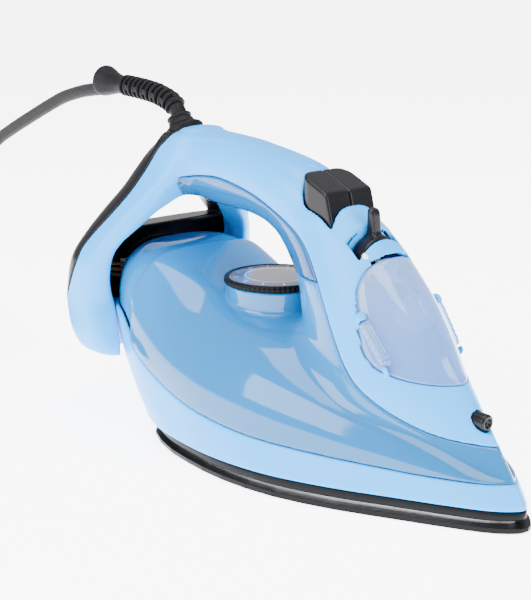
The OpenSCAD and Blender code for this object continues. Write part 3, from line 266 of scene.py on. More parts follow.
def grip_field(L, power=2.3):
    tops = spline([g[0] for g in GRIP], 20)
    lows = spline([g[1] for g in GRIP], 20)
    wide = spline([[g[2], 0] for g in GRIP], 20)[:, 0]
    mid, half = (tops + lows) / 2, np.linalg.norm(tops - lows, axis=1) / 2
    u = (tops - lows) / (2 * half)[:, None]
    gx, gz = L.x[:, None, None], L.z[None, :, None]
    ahead = u[:, 1] * (gx - mid[:, 0]) - u[:, 0] * (gz - mid[:, 1])
    along = u[:, 0] * (gx - mid[:, 0]) + u[:, 1] * (gz - mid[:, 1])
    # sections run from front to back, so a point lies between two where "ahead" changes sign
    change = (ahead[..., :-1] <= 0) & (ahead[..., 1:] > 0)
    cost = np.where(change, np.abs(along[..., :-1]), 1e6)
    k = np.argmin(cost, axis=-1)
    found = np.take_along_axis(change, k[..., None], -1)[..., 0]
    k = np.where(found, k, np.where(ahead[..., 0] > 0, 0, len(mid) - 2))
    a0 = np.take_along_axis(ahead, k[..., None], -1)[..., 0]
    a1 = np.take_along_axis(ahead, k[..., None] + 1, -1)[..., 0]
    f = np.clip(np.where(found, -a0 / np.where(a1 - a0 == 0, 1, a1 - a0),
                         np.where(ahead[..., 0] > 0, 0, 1)), 0, 1)

    def pick(arr):
        return arr[k] * (1 - f) + arr[k + 1] * f

    q = (np.take_along_axis(along, k[..., None], -1)[..., 0] * (1 - f)
         + np.take_along_axis(along, k[..., None] + 1, -1)[..., 0] * f)
    q = np.abs(q) / pick(half)
    past = np.where(found, -50, np.where(ahead[..., 0] > 0, ahead[..., 0], -ahead[..., -1]))
    w = pick(wide)
    g = (q[:, None, :] ** power + (L.Y / w[:, None, :]) ** power) ** (1 / power)
    body = L.level((g - 1).astype(np.float32))
    return np.maximum(body, past[:, None, :].astype(np.float32))


def heel_field(L):
    z = L.z
    f, b, w = curve(z, HEEL_F), curve(z, HEEL_B), curve(z, HEEL_W)
    mid, r = ((f + b) / 2)[None, None, :], ((f - b) / 2)[None, None, :]
    m = HEEL_POWER
    g = ((np.abs(L.X - mid) / r) ** m + (L.Y / w[None, None, :]) ** m) ** (1 / m)
    body = L.level((g - 1).astype(np.float32))
    return smax(body, np.abs(L.Z - 97.5) - 61.0, 3.0)


def rod_field(L, at, tilt, r, lo, hi):
    """Round rod in the plane of symmetry from lo to hi along its axis; tilt turns +Z towards +X."""
    s, c = math.sin(math.radians(tilt)), math.cos(math.radians(tilt))
    dx, dz = L.X - at[0], L.Z - at[2]
    along = dx * s + dz * c
    side = dx * c - dz * s
    ends = np.abs(along - (lo + hi) / 2) - (hi - lo) / 2
    return np.maximum(np.sqrt(side ** 2 + L.Y ** 2) - r, ends)


def capsule_field(L, a, b, r):
    a, b = np.array(a), np.array(b)
    e = b - a
    px, py, pz = L.X - a[0], L.Y - a[1], L.Z - a[2]
    t = np.clip((px * e[0] + py * e[1] + pz * e[2]) / (e @ e), 0, 1)
    return np.sqrt((px - t * e[0]) ** 2 + (py - t * e[1]) ** 2 + (pz - t * e[2]) ** 2) - r


# ---------------------------------------------------------------- lattice to mesh
CORNERS = [(i, j, k) for i in (0, 1) for j in (0, 1) for k in (0, 1)]
EDGES = [(a, b) for a in range(8) for b in range(a + 1, 8)
         if sum(abs(CORNERS[a][c] - CORNERS[b][c]) for c in range(3)) == 1]


def sample(F, q):
    """Trilinear value and gradient of F at lattice positions q."""
    n = np.array(F.shape) - 2
    i = np.clip(np.floor(q).astype(int), 0, n)
    t = q - i
    v = [F[i[:, 0] + a, i[:, 1] + b, i[:, 2] + c] for a, b, c in CORNERS]
    x, y, z = t[:, 0], t[:, 1], t[:, 2]
    c00, c01 = v[0] * (1 - x) + v[4] * x, v[1] * (1 - x) + v[5] * x
    c10, c11 = v[2] * (1 - x) + v[6] * x, v[3] * (1 - x) + v[7] * x
    val = (c00 * (1 - y) + c10 * y) * (1 - z) + (c01 * (1 - y) + c11 * y) * z
    gx = (((v[4] - v[0]) * (1 - y) + (v[6] - v[2]) * y) * (1 - z)
          + ((v[5] - v[1]) * (1 - y) + (v[7] - v[3]) * y) * z)
    gy = (c10 - c00) * (1 - z) + (c11 - c01) * z
    gz = (c01 * (1 - y) + c11 * y) - (c00 * (1 - y) + c10 * y)
    return val, np.stack([gx, gy, gz], 1)


def net(F, L):
    """Quads round the zero level of F (negative inside), in millimetres."""
    ys = L.y
    if L.half:
        F = np.concatenate([F[:, :0:-1], F], axis=1)
        ys = np.concatenate([-L.y[:0:-1], L.y])
    F = np.pad(F, 1, constant_values=5.0)
    inside = F < 0
    count = sum(inside[a:a + inside.shape[0] - 1, b:b + inside.shape[1] - 1,
                       c:c + inside.shape[2] - 1].astype(np.int8) for a, b, c in CORNERS)
    cells = np.argwhere((count > 0) & (count < 8))
    index = np.full(count.shape, -1, np.int32)
    index[tuple(cells.T)] = np.arange(len(cells))
    vals = [F[cells[:, 0] + a, cells[:, 1] + b, cells[:, 2] + c] for a, b, c in CORNERS]
    total, weight = np.zeros((len(cells), 3)), np.zeros(len(cells))
    for a, b in EDGES:
        hit = (vals[a] < 0) != (vals[b] < 0)
        t = np.where(hit, vals[a] / np.where(hit, vals[a] - vals[b], 1), 0)
        pa, pb = np.array(CORNERS[a]), np.array(CORNERS[b])
        total += np.where(hit[:, None], pa + t[:, None] * (pb - pa), 0)
        weight += hit
    q = cells + total / weight[:, None]
    for _ in range(2):
        v, g = sample(F, q)
        step = -v[:, None] * g / np.maximum((g * g).sum(1), 1e-6)[:, None]
        q += np.clip(step, -0.4, 0.4)
    faces = []
    for axis in range(3):
        u, w = (axis + 1) % 3, (axis + 2) % 3
        lo = [slice(1, s - 1) for s in F.shape]
        lo[axis] = slice(0, F.shape[axis] - 1)
        hi = list(lo)
        hi[axis] = slice(1, F.shape[axis])
        a, b = inside[tuple(lo)], inside[tuple(hi)]
        at = np.argwhere(a != b)
        flip = a[tuple(at.T)]
        at = at + np.array([0 if c == axis else 1 for c in range(3)])
        du, dw = np.eye(3, dtype=int)[u], np.eye(3, dtype=int)[w]
        ring = [index[tuple((at - du - dw).T)], index[tuple((at - dw).T)],
                index[tuple(at.T)], index[tuple((at - du).T)]]
        quad = np.stack(ring, 1)
        faces.append(np.where(flip[:, None], quad, quad[:, ::-1]))
    base = np.array([L.x[0], ys[0], L.z[0]]) - L.h
    return base + q * L.h, np.concatenate(faces)


def mesh_object(name, verts, faces, material, smooth=True):
    """New mesh object from points in millimetres."""
    mesh = bpy.data.meshes.new(name)
    verts = np.asarray(verts, np.float64) * MM
    if isinstance(faces, np.ndarray):
        n, k = faces.shape
        mesh.vertices.add(len(verts))
        mesh.vertices.foreach_set("co", verts.ravel())
        mesh.loops.add(n * k)
        mesh.loops.foreach_set("vertex_index", faces.ravel().astype(np.int32))
        mesh.polygons.add(n)
        mesh.polygons.foreach_set("loop_start", np.arange(0, n * k, k, dtype=np.int32))
        mesh.update(calc_edges=True)
    else:
        mesh.from_pydata([tuple(v) for v in verts], [], faces)
    mesh.validate()
    mesh.polygons.foreach_set("use_smooth", [smooth] * len(mesh.polygons))
    mesh.materials.append(material)
    o = bpy.data.objects.new(name, mesh)
    bpy.context.scene.collection.objects.link(o)
    return o


def whole(verts, faces, least=400):
    """Leaves out stray islands of fewer than least faces."""
    label = np.arange(len(verts))
    while True:
        low = label[faces].min(axis=1)
        new = label.copy()
        np.minimum.at(new, faces.ravel(), np.repeat(low, faces.shape[1]))
        new = new[new]
        if np.array_equal(new, label):
            break
        label = new
    mine = label[faces[:, 0]]
    count = np.bincount(mine, minlength=len(verts))
    faces = faces[count[mine] >= least]
    used = np.unique(faces)
    index = np.zeros(len(verts), np.int64)
    index[used] = np.arange(len(used))
    return verts[used], index[faces]


def net_object(name, F, L, material):
    return mesh_object(name, *whole(*net(F, L)), material)


# ---------------------------------------------------------------- materials
def material(name, build):
    m = bpy.data.materials.new(name)
    m.use_nodes = True
    nt = m.node_tree
    bsdf = nt.nodes["Principled BSDF"]
    build(nt, bsdf)
    return m


def put(node, **values):
    """Sets a node's sockets by name, with _ for a space."""
    for name, value in values.items():
        node.inputs[name.replace("_", " ")].default_value = value


def noise(nt, scale, detail=4.0, kind="ShaderNodeTexNoise"):
    coord = nt.nodes.new("ShaderNodeTexCoord")
    n = nt.nodes.new(kind)
    put(n, Scale=scale, Detail=detail, Roughness=0.55)
    nt.links.new(coord.outputs["Object"], n.inputs["Vector"])
    return n


def ramp(nt, value, stops):
    r = nt.nodes.new("ShaderNodeValToRGB")
    el = r.color_ramp.elements
    while len(el) < len(stops):
        el.new(0.5)
    for e, (pos, col) in zip(el, stops):
        e.position = pos
        e.color = (*col, 1.0) if len(col) == 3 else col
    nt.links.new(value, r.inputs["Fac"])
    return r.outputs["Color"]


def spread(nt, value, lo, hi):
    r = nt.nodes.new("ShaderNodeMapRange")
    put(r, To_Min=lo, To_Max=hi)
    nt.links.new(value, r.inputs["Value"])
    return r.outputs["Result"]


def bump(nt, bsdf, value, strength, distance):
    b = nt.nodes.new("ShaderNodeBump")
    put(b, Strength=strength, Distance=distance)
    nt.links.new(value, b.inputs["Height"])
    nt.links.new(b.outputs["Normal"], bsdf.inputs["Normal"])


def cloudy(nt, b, value, stops):
    """Base colour that runs between stops with a value."""
    nt.links.new(ramp(nt, value, stops), b.inputs["Base Color"])


def worn(nt, b, value, rough):
    """Roughness that runs between two limits with a value."""
    nt.links.new(spread(nt, value, *rough), b.inputs["Roughness"])


def plastic(name, low, high, rough=(0.16, 0.24), coat=0.6, grain=900.0, depth=0.00002, gloss=0.5):
    """Moulded plastic: a slight cloud in colour, roughness and a fine moulded grain."""
    def build(nt, b):
        cloudy(nt, b, noise(nt, 14.0, 3.0).outputs["Fac"], [(0.3, low), (0.7, high)])
        worn(nt, b, noise(nt, 60.0, 5.0).outputs["Fac"], rough)
        put(b, Coat_Weight=coat, Coat_Roughness=0.08, Specular_IOR_Level=gloss)
        bump(nt, b, noise(nt, grain, 2.0).outputs["Fac"], 0.12, depth)
    return material(name, build)


def metal_finish(name, low, high, rough=(0.28, 0.42)):
    def build(nt, b):
        n = noise(nt, 90.0, 6.0)
        cloudy(nt, b, n.outputs["Fac"], [(0.3, low), (0.7, high)])
        worn(nt, b, n.outputs["Fac"], rough)
        put(b, Metallic=1.0)
        bump(nt, b, noise(nt, 500.0, 3.0).outputs["Fac"], 0.25, 0.00005)
    return material(name, build)


def clear_plastic(name, deep, pale, lo, hi, see=0.35, rough=0.06):
    """Tinted clear plastic with painted shade: darker towards the low end of its height and lighter at the
    top, with a slight random cloud.
    """
    def build(nt, b):
        coord = nt.nodes.new("ShaderNodeTexCoord")
        split = nt.nodes.new("ShaderNodeSeparateXYZ")
        nt.links.new(coord.outputs["Object"], split.inputs["Vector"])
        height = nt.nodes.new("ShaderNodeMapRange")
        put(height, From_Min=lo, From_Max=hi)
        nt.links.new(split.outputs["Z"], height.inputs["Value"])
        height_shade_and_cloud = nt.nodes.new("ShaderNodeMath")
        height_shade_and_cloud.operation = "MULTIPLY_ADD"
        nt.links.new(noise(nt, 22.0, 3.0).outputs["Fac"], height_shade_and_cloud.inputs[0])
        height_shade_and_cloud.inputs[1].default_value = 0.25
        nt.links.new(height.outputs["Result"], height_shade_and_cloud.inputs[2])
        # painted shade: the colour runs from the shaded low colour up to the lit high colour with height,
        # plus a random cloud
        cloudy(nt, b, height_shade_and_cloud.outputs["Value"], [(0.1, deep), (1.0, pale)])
        worn(nt, b, noise(nt, 40.0, 4.0).outputs["Fac"], (rough, rough + 0.06))
        put(b, Transmission_Weight=see, IOR=1.49, Specular_IOR_Level=0.35, Coat_Weight=0.2,
            Coat_Roughness=0.05)
        bump(nt, b, noise(nt, 26.0, 2.0).outputs["Fac"], 0.05, 0.0004)
    return material(name, build)


def rubber(name, low, high):
    def build(nt, b):
        n = noise(nt, 120.0, 5.0)
        cloudy(nt, b, n.outputs["Fac"], [(0.35, low), (0.7, high)])
        worn(nt, b, n.outputs["Fac"], (0.42, 0.6))
        put(b, Specular_IOR_Level=0.08)
        bump(nt, b, noise(nt, 700.0, 2.0).outputs["Fac"], 0.3, 0.00006)
    return material(name, build)


def braided(name):
    """Woven textile sheath of the mains lead."""
    def build(nt, b):
        weave = noise(nt, 950.0, 1.0, kind="ShaderNodeTexVoronoi")
        cloudy(nt, b, weave.outputs["Distance"], [(0.0, (0.016, 0.016, 0.018)), (0.6, (0.004, 0.004, 0.005))])
        worn(nt, b, noise(nt, 200.0).outputs["Fac"], (0.5, 0.72))
        put(b, Specular_IOR_Level=0.08, Sheen_Weight=0.06)
        bump(nt, b, weave.outputs["Distance"], 0.5, 0.0002)
    return material(name, build)


def dial_face(name):
    """Grey dial cap with one printed circle and generic marks round it."""
    def build(nt, b):
        coord = nt.nodes.new("ShaderNodeTexCoord")
        shift = nt.nodes.new("ShaderNodeVectorMath")
        shift.operation = "SUBTRACT"
        nt.links.new(coord.outputs["Object"], shift.inputs[0])
        shift.inputs[1].default_value = (DIAL_XY[0] * MM, DIAL_XY[1] * MM, DIAL_Z1 * MM)
        split = nt.nodes.new("ShaderNodeSeparateXYZ")
        nt.links.new(shift.outputs["Vector"], split.inputs["Vector"])

        def op(kind, a, c=None):
            n = nt.nodes.new("ShaderNodeMath")
            n.operation = kind
            for k, v in enumerate((a, c)):
                if v is None:
                    continue
                if isinstance(v, (int, float)):
                    n.inputs[k].default_value = v
                else:
                    nt.links.new(v, n.inputs[k])
            return n.outputs["Value"]

        x, y = split.outputs["X"], split.outputs["Y"]
        r = op("SQRT", op("ADD", op("MULTIPLY", x, x), op("MULTIPLY", y, y)))
        # radii in metres: a thin ring, and a band of marks, 12 round the cap
        ring = op("LESS_THAN", op("ABSOLUTE", op("SUBTRACT", r, 0.0158)), 0.00028)
        angle = op("ARCTAN2", y, x)
        ticks = op("LESS_THAN", op("ABSOLUTE", op("SINE", op("MULTIPLY", angle, 6.0))), 0.12)
        band = op("LESS_THAN", op("ABSOLUTE", op("SUBTRACT", r, 0.0205)), 0.0012)
        marks = op("MAXIMUM", ring, op("MULTIPLY", ticks, band))
        mix = nt.nodes.new("ShaderNodeMix")
        mix.data_type = "RGBA"
        nt.links.new(marks, mix.inputs["Factor"])
        cap = [(0.3, (0.075, 0.07, 0.11)), (0.7, (0.10, 0.095, 0.14))]
        nt.links.new(ramp(nt, noise(nt, 30.0).outputs["Fac"], cap), mix.inputs["A"])
        mix.inputs["B"].default_value = (0.62, 0.62, 0.72, 1)
        nt.links.new(mix.outputs["Result"], b.inputs["Base Color"])
        worn(nt, b, noise(nt, 60.0).outputs["Fac"], (0.2, 0.3))
        put(b, Coat_Weight=0.7)
        bump(nt, b, noise(nt, 800.0, 2.0).outputs["Fac"], 0.1, 0.00002)
    return material(name, build)


BLUE = plastic("light_blue_plastic", (0.0, 0.285, 0.76), (0.0, 0.305, 0.80), rough=(0.3, 0.38),
               coat=0.06, gloss=0.25)
BLACK = plastic("black_gloss_plastic", (0.002, 0.002, 0.003), (0.004, 0.004, 0.006),
                rough=(0.18, 0.26), coat=0.0, gloss=0.16)
SATIN_BLACK = plastic("black_satin_plastic", (0.002, 0.002, 0.003), (0.004, 0.004, 0.005),
                      rough=(0.3, 0.42), coat=0.0, grain=600.0, depth=0.00005, gloss=0.08)
TANK = clear_plastic("tank_blue_clear", (0.0, 0.095, 0.25), (0.0, 0.155, 0.42), 0.02, 0.10, see=0.06)
INSERT = clear_plastic("insert_blue_clear", (0.0, 0.055, 0.18), (0.0, 0.095, 0.27), 0.10, 0.14, see=0.06)
LID_CLEAR = clear_plastic("lid_clear", (0.14, 0.42, 0.92), (0.34, 0.55, 0.95), 0.05, 0.11, see=0.7,
                          rough=0.04)
WHITE = plastic("white_plastic", (0.74, 0.77, 0.80), (0.80, 0.82, 0.85), rough=(0.3, 0.42), coat=0.1)
SILICONE = plastic("silicone", (0.55, 0.66, 0.78), (0.62, 0.72, 0.84), rough=(0.3, 0.42), coat=0.2)
SOLE = plastic("sole_coating", (0.002, 0.002, 0.003), (0.004, 0.004, 0.005), rough=(0.26, 0.36),
               coat=0.0, grain=1400.0, depth=0.00004, gloss=0.08)
CAST = metal_finish("cast_alloy", (0.45, 0.46, 0.48), (0.62, 0.63, 0.65))
STEEL = metal_finish("bright_steel", (0.55, 0.56, 0.58), (0.70, 0.71, 0.73), rough=(0.2, 0.32))
BRASS = metal_finish("brass", (0.60, 0.43, 0.17), (0.75, 0.56, 0.26), rough=(0.2, 0.34))
RUBBER = rubber("moulded_rubber", (0.003, 0.003, 0.004), (0.007, 0.007, 0.008))
WIRE = rubber("wire_insulation", (0.16, 0.08, 0.04), (0.24, 0.12, 0.06))
BRAID = braided("braided_sheath")
DIAL_FACE = dial_face("dial_face")
LENS = clear_plastic("lamp_lens", (0.80, 0.86, 0.95), (0.92, 0.95, 1.0), 0.10, 0.12, see=0.3)


# ---------------------------------------------------------------- camera
def camera():
    """Camera at the photograph's viewing angle; made first."""
    right = Vector((0.6619, 0.7496, -0.0021))
    up = Vector((-0.1871, 0.1678, 0.9679))
    back = Vector((0.7259, -0.6402, 0.2513))
    at = Vector((501.76, -471.63, 259.13)) * MM
    data = bpy.data.cameras.new("photo_camera")
    data.sensor_width = 36.0
    data.lens = 84.0
    cam = bpy.data.objects.new("photo_camera", data)
    bpy.context.scene.collection.objects.link(cam)
    m = Matrix((right, up, back)).transposed().to_4x4()
    m.translation = at
    cam.matrix_world = m
    bpy.context.scene.camera = cam


# ---------------------------------------------------------------- mains lead
CORD_D = 7.6
SLEEVE_ROUTE = [[-95.7, 0, 150.2], [-97.9, 0, 153.6], [-100, 0, 157], [-102, 0, 160.8], [-104, 0, 165],
                [-107, 0, 169], [-112, 0, 171.8], [-118, 0, 173.6], [-124, 0, 175], [-136, 0, 176.4],
                [-149, 0, 177.2], [-156, 0, 177.4], [-164.5, 0, 177.8], [-173.5, 0, 178.6]]
CORD_ROUTE = [[-160, 0, 177.4], [-168, 0, 176], [-177, 0, 173.6], [-188, 0, 172], [-200, 0, 169.8],
              [-218, 0, 165], [-237, 0, 157.6], [-257, 0, 149.2], [-276, 0, 141], [-294, 0, 132.6],
              [-311, -1, 122], [-326, -4, 109], [-339, -9, 94], [-348, -16, 77], [-352.6, -24, 60],
              [-354.6, -34, 45], [-354.2, -45, 32.6], [-351.2, -55.4, 24.2], [-346.6, -64.6, 19.6],
              [-341.6, -75, 17.9]]
COIL_AT, COIL_R, COIL_Z0 = (-300.0, -72.0), 40.0, 0.8
TIE_ANGLE = 20.0
PLUG_AT, PLUG_R, PLUG_H = (-249.0, -121.0), 18.6, 17.0
PLUG_NECK = (-282.0, -120.4)


def smooth_step(v):
    v = min(max(v, 0.0), 1.0)
    return v * v * (3 - 2 * v)


def cord_points():
    """Route of the lead: from the sleeve down to the coil, its turns, and on to the plug."""
    low, rise = COIL_Z0 + CORD_D / 2, 0.87 * CORD_D
    pts = [list(p) for p in CORD_ROUTE]
    # turns anticlockwise from the left: one on top, two below it, then three on the floor
    lanes = [(COIL_R, low + 2 * rise),
             (COIL_R + CORD_D / 2, low + rise), (COIL_R - CORD_D / 2, low + rise),
             (COIL_R - CORD_D, low), (COIL_R, low), (COIL_R + CORD_D, low)]
    per = 16
    for n, (r, z) in enumerate(lanes):
        r0, z0 = lanes[max(n - 1, 0)]
        last = n == len(lanes) - 1
        for k in range(int(per * 1.2) + 1 if last else per):
            if n == 0 and k == 0:
                continue
            s = k / per
            a = math.radians(180.0 + 360.0 * s)
            into = smooth_step(s / 0.5)
            rr, zz = r0 + (r - r0) * into, z0 + (z - z0) * into
            if last:
                # the last turn widens where it leaves the coil towards the plug
                rr += 5.4 * smooth_step((s - 0.85) / 0.4)
            pts.append([COIL_AT[0] + rr * math.cos(a), COIL_AT[1] + rr * math.sin(a), zz])
    pts.append([-300.5, -124.4, low + 0.2])
    pts.append([-291.0, -122.2, low + 0.8])
    pts.append([PLUG_NECK[0] + 1.0, PLUG_NECK[1], low + 1.2])
    return pts


def curve_object(name, points, radius, mat):
    """Round tube along a line of points in millimetres."""
    data = bpy.data.curves.new(name, "CURVE")
    data.dimensions = "3D"
    data.bevel_depth = radius * MM
    data.bevel_resolution = 8
    data.use_fill_caps = True
    s = data.splines.new("POLY")
    s.points.add(len(points) - 1)
    for p, q in zip(s.points, points):
        p.co = (q[0] * MM, q[1] * MM, q[2] * MM, 1.0)
    s.use_smooth = True
    data.materials.append(mat)
    o = bpy.data.objects.new(name, data)
    bpy.context.scene.collection.objects.link(o)
    return o


def frames(points):
    """Positions and directions along a line of points, with a sideways and an upward vector."""
    p = np.asarray(points, float)
    d = np.gradient(p, axis=0)
    d /= np.linalg.norm(d, axis=1)[:, None]
    side = np.tile([0.0, 1.0, 0.0], (len(p), 1))
    side -= (side * d).sum(1)[:, None] * d
    side /= np.linalg.norm(side, axis=1)[:, None]
    return p, d, side, np.cross(d, side)


def ring_quads(rows, sides, closed=False):
    """Quads between rows of a ring grid; closed joins the last row to the first."""
    j, k = np.meshgrid(np.arange(rows if closed else rows - 1), np.arange(sides), indexing="ij")
    j, k = j.ravel(), k.ravel()
    a, b = j * sides, (j + 1) % rows * sides
    n = (k + 1) % sides
    return np.stack([a + k, a + n, b + n, b + k], 1)


def swept(name, stations, mat, sides=40):
    """Skin of rings; each station is a centre, direction, side, up and radius."""
    verts = []
    for c, d, s, u, r in stations:
        for k in range(sides):
            a = 2 * math.pi * k / sides
            verts.append(c + r * (math.cos(a) * s + math.sin(a) * u))
    n = len(stations)
    faces = [tuple(q) for q in ring_quads(n, sides).tolist()]
    faces.append(tuple(range(sides - 1, -1, -1)))
    faces.append(tuple((n - 1) * sides + k for k in range(sides)))
    return mesh_object(name, verts, faces, mat)


def join(name, objects):
    for o in bpy.context.selected_objects:
        o.select_set(False)
    for o in objects:
        o.select_set(True)
    bpy.context.view_layer.objects.active = objects[0]
    bpy.ops.object.join()
    objects[0].name = name
    objects[0].data.name = name
    return objects[0]


def bevel(o, width, segments=3, angle=35.0):
    m = o.modifiers.new("edge", "BEVEL")
    m.width = width * MM
    m.segments = segments
    m.limit_method = "ANGLE"
    m.angle_limit = math.radians(angle)
    return o


def along_line(line):
    """Function from a distance along the line to a frame there."""
    p, d, side, up = frames(line)
    way = np.concatenate([[0], np.cumsum(np.linalg.norm(np.diff(p, axis=0), axis=1))])

    def at(s):
        return [np.array([np.interp(s, way, v[:, c]) for c in range(3)]) for v in (p, d, side, up)]
    return at, way[-1]


SLEEVE_STEM, SLEEVE_CORE, RIB_R = 4.6, 4.5, 6.1
STEM_LEN, RIBS_FROM, RIB_COUNT, BELL_LEN = 14.0, 23.0, 11, 22.0
BELL = [(0.0, 5.4), (0.14, 5.1), (0.3, 5.3), (0.5, 6.2),    # share of the bell's length, radius
        (0.7, 7.4), (0.86, 8.5), (0.95, 8.9), (1.0, 8.8)]


def cord_sleeve():
    """Ribbed strain relief: a core, spaced ribs joined by small bridges, and an open bell."""
    at, total = along_line(spline(SLEEVE_ROUTE, 8))
    ribs_to = total - BELL_LEN
    core = [(*at(s), SLEEVE_STEM if s < STEM_LEN else SLEEVE_CORE) for s in np.linspace(0, ribs_to + 1, 60)]
    parts = [swept("core", core, RUBBER)]
    pitch = (ribs_to - RIBS_FROM) / RIB_COUNT
    profile = [(-0.95, 4.3), (-0.95, 5.6), (-0.6, RIB_R), (0.6, RIB_R), (0.95, 5.6), (0.95, 4.3)]
    box_faces = [(0, 1, 3, 2), (4, 6, 7, 5), (0, 4, 5, 1), (2, 3, 7, 6), (0, 2, 6, 4), (1, 5, 7, 3)]
    for k in range(RIB_COUNT + 1):
        mid = RIBS_FROM + k * pitch
        parts.append(swept("rib", [(*at(mid + off), r) for off, r in profile], RUBBER, 32))
        if k == RIB_COUNT:
            break
        for q in range(2):
            turn = math.pi * q + (math.pi / 2 if k % 2 else 0)
            c, d, side, up = at(mid + pitch / 2)
            out = math.cos(turn) * up + math.sin(turn) * side
            across = np.cross(d, out)
            box = [c + out * a + across * b + d * e for a in (4.0, 5.8) for b in (-1.5, 1.5)
                   for e in (-pitch / 2, pitch / 2)]
            parts.append(mesh_object("bridge", box, box_faces, RUBBER, smooth=False))
    # the bell's outside, then its inside back from the mouth
    share, radii = zip(*BELL)
    bell = []
    for f in np.linspace(0, 1, 26):
        bell.append((*at(ribs_to + f * BELL_LEN), float(np.interp(f, share, radii))))
    for f in np.linspace(0.995, 0.3, 18):
        wall = 0.8 + 0.6 * (1 - f)
        bell.append((*at(ribs_to + f * BELL_LEN), float(np.interp(f, share, radii)) - wall))
    parts.append(swept("bell", bell, RUBBER, 48))
    o = join("cord_sleeve_detail", parts)
    return bevel(o, 0.25, 2, 50.0)


def lathe(name, profile, mat, centre, tilt=0.0, sides=64):
    """Turned piece; profile of radius and height, closed on the axis where the radius is 0."""
    s, c = math.sin(math.radians(tilt)), math.cos(math.radians(tilt))
    verts, faces, rings = [], [], []
    for r, h in profile:
        ring = []
        n = 1 if r <= 1e-6 else sides
        for k in range(n):
            a = 2 * math.pi * k / sides
            x, y = r * math.cos(a), r * math.sin(a)
            ring.append(len(verts))
            verts.append((centre[0] + x * c + h * s, centre[1] + y, centre[2] - x * s + h * c))
        rings.append(ring)
    for a, b in zip(rings, rings[1:]):
        for k in range(sides):
            a0, a1 = a[k % len(a)], a[(k + 1) % len(a)]
            b0, b1 = b[k % len(b)], b[(k + 1) % len(b)]
            face = [a0, a1, b1, b0]
            face = [v for i, v in enumerate(face) if v not in face[:i]]
            if len(face) > 2:
                faces.append(tuple(face))
    first, last = rings[0], rings[-1]
    if len(first) > 1 and len(last) > 1 and tuple(profile[0]) != tuple(profile[-1]):
        for k in range(sides):
            n = (k + 1) % sides
            faces.append((last[k], last[n], first[n], first[k]))
    return mesh_object(name, verts, faces, mat)


def corner(a, b, c, r, steps, share):
    """Curve round the corner b, starting at most a share of each side away from it."""
    u, v = a - b, c - b
    k = min(r, np.linalg.norm(u) / share, np.linalg.norm(v) / share)
    u, v = u / np.linalg.norm(u) * k, v / np.linalg.norm(v) * k
    t = [i / steps for i in range(steps + 1)]
    return [(1 - i) ** 2 * (b + u) + 2 * i * (1 - i) * b + i * i * (b + v) for i in t]


def rounded(points, r):
    """Open outline with its corners cut round."""
    p = [np.array(q, float) for q in points]
    out = [p[0]]
    for a, b, c in zip(p, p[1:], p[2:]):
        out += corner(a, b, c, r, 4, 2.2)
    return [tuple(q) for q in [*out, p[-1]]]


def rounded_closed(points, r):
    """Closed outline with its corners cut round."""
    p = np.asarray(points, float)
    out = []
    for i in range(len(p)):
        out += corner(p[i - 1], p[i], p[(i + 1) % len(p)], r, 5, 2.3)
    return np.array(out)


def cord_collar():
    profile = rounded([(4.65, -4.8), (10.4, -4.8), (11, -4), (11, 0.6), (9.4, 2.2), (7.4, 3.2),
                       (7.0, 5.4), (6.3, 5.9), (6.3, 6.6), (7.0, 7.1), (6.8, 8.6), (4.65, 8.6)], 0.7)
    return lathe("cord_collar_detail", profile, RUBBER, GLAND_AT, GLAND_TILT)


def plug():
    """Moulded plug lying on its back with the pins up, with a grip rim and a side-entry neck."""
    c = (PLUG_AT[0], PLUG_AT[1], 0.0)
    rim = PLUG_R - 1.2
    body = rounded([(0, 0), (PLUG_R - 1.5, 0), (PLUG_R, 1.5), (PLUG_R, 8), (rim, 9), (rim, 13),
                    (PLUG_R - 2.5, PLUG_H - 0.2), (0, PLUG_H - 0.2)], 1.2)
    parts = [lathe("plug", body, RUBBER, c)]
    low = COIL_Z0 + CORD_D / 2 + 1.2
    ring = [(4.3, 0), (4.6, 3), (4.3, 4), (5.0, 5), (4.7, 6.5), (5.2, 7.5), (5.0, 9), (5.4, 12),
            (5.6, 20)]
    start = np.array([*PLUG_NECK, low])
    d = np.array([PLUG_NECK[0] + 20, PLUG_NECK[1] - 0.35, low]) - start
    d /= np.linalg.norm(d)
    side, up = np.array([-d[1], d[0], 0.0]), np.array([0.0, 0.0, 1.0])
    parts.append(swept("neck", [(start + d * s, d, side, up, r) for r, s in ring], RUBBER, 32))
    return join("plug_detail", parts)


def cord_coil_and_lead():
    pts = spline(cord_points(), 4)
    o = curve_object("mains_lead", pts, CORD_D / 2, BRAID)
    return o, pts


def cord_tie():
    """Flat strap bent round the coil's turns."""
    half, top = 1.5 * CORD_D, COIL_Z0 + CORD_D * 2.74
    inner = [(-half - 0.15, 1.0), (-half - 0.15, 6.0), (-CORD_D - 0.4, 14.4),
             (-CORD_D / 2 - 0.6, top - 0.8), (-1.5, top + 0.15), (1.5, top + 0.15),
             (CORD_D / 2 + 0.6, top - 0.8), (CORD_D + 0.4, 14.4), (half + 0.15, 6.0),
             (half + 0.15, 1.0), (half - 1.5, 0.75), (-half + 1.5, 0.75)]
    line = spline(inner, 5, closed=True)
    a = math.radians(TIE_ANGLE)
    radial = np.array([math.cos(a), math.sin(a), 0])
    tangent = np.array([-math.sin(a), math.cos(a), 0])
    centre = np.array([COIL_AT[0], COIL_AT[1], 0.0]) + radial * COIL_R
    verts, n = [], len(line)
    mid = line.mean(0)
    for w in (-4.5, 4.5):
        for t in (0.0, 0.7):
            for p in line:
                q = p + (p - mid) / np.linalg.norm(p - mid) * t
                verts.append(centre + radial * q[0] + np.array([0, 0, max(q[1], 0.02)]) + tangent * w)
    faces = []
    for k in range(n):
        b = (k + 1) % n
        faces += [(k, b, n + b, n + k), (2 * n + b, 2 * n + k, 3 * n + k, 3 * n + b),
                  (b, k, 2 * n + k, 2 * n + b), (n + k, n + b, 3 * n + b, 3 * n + k)]
    return mesh_object("cord_tie_detail", verts, faces, BRAID)


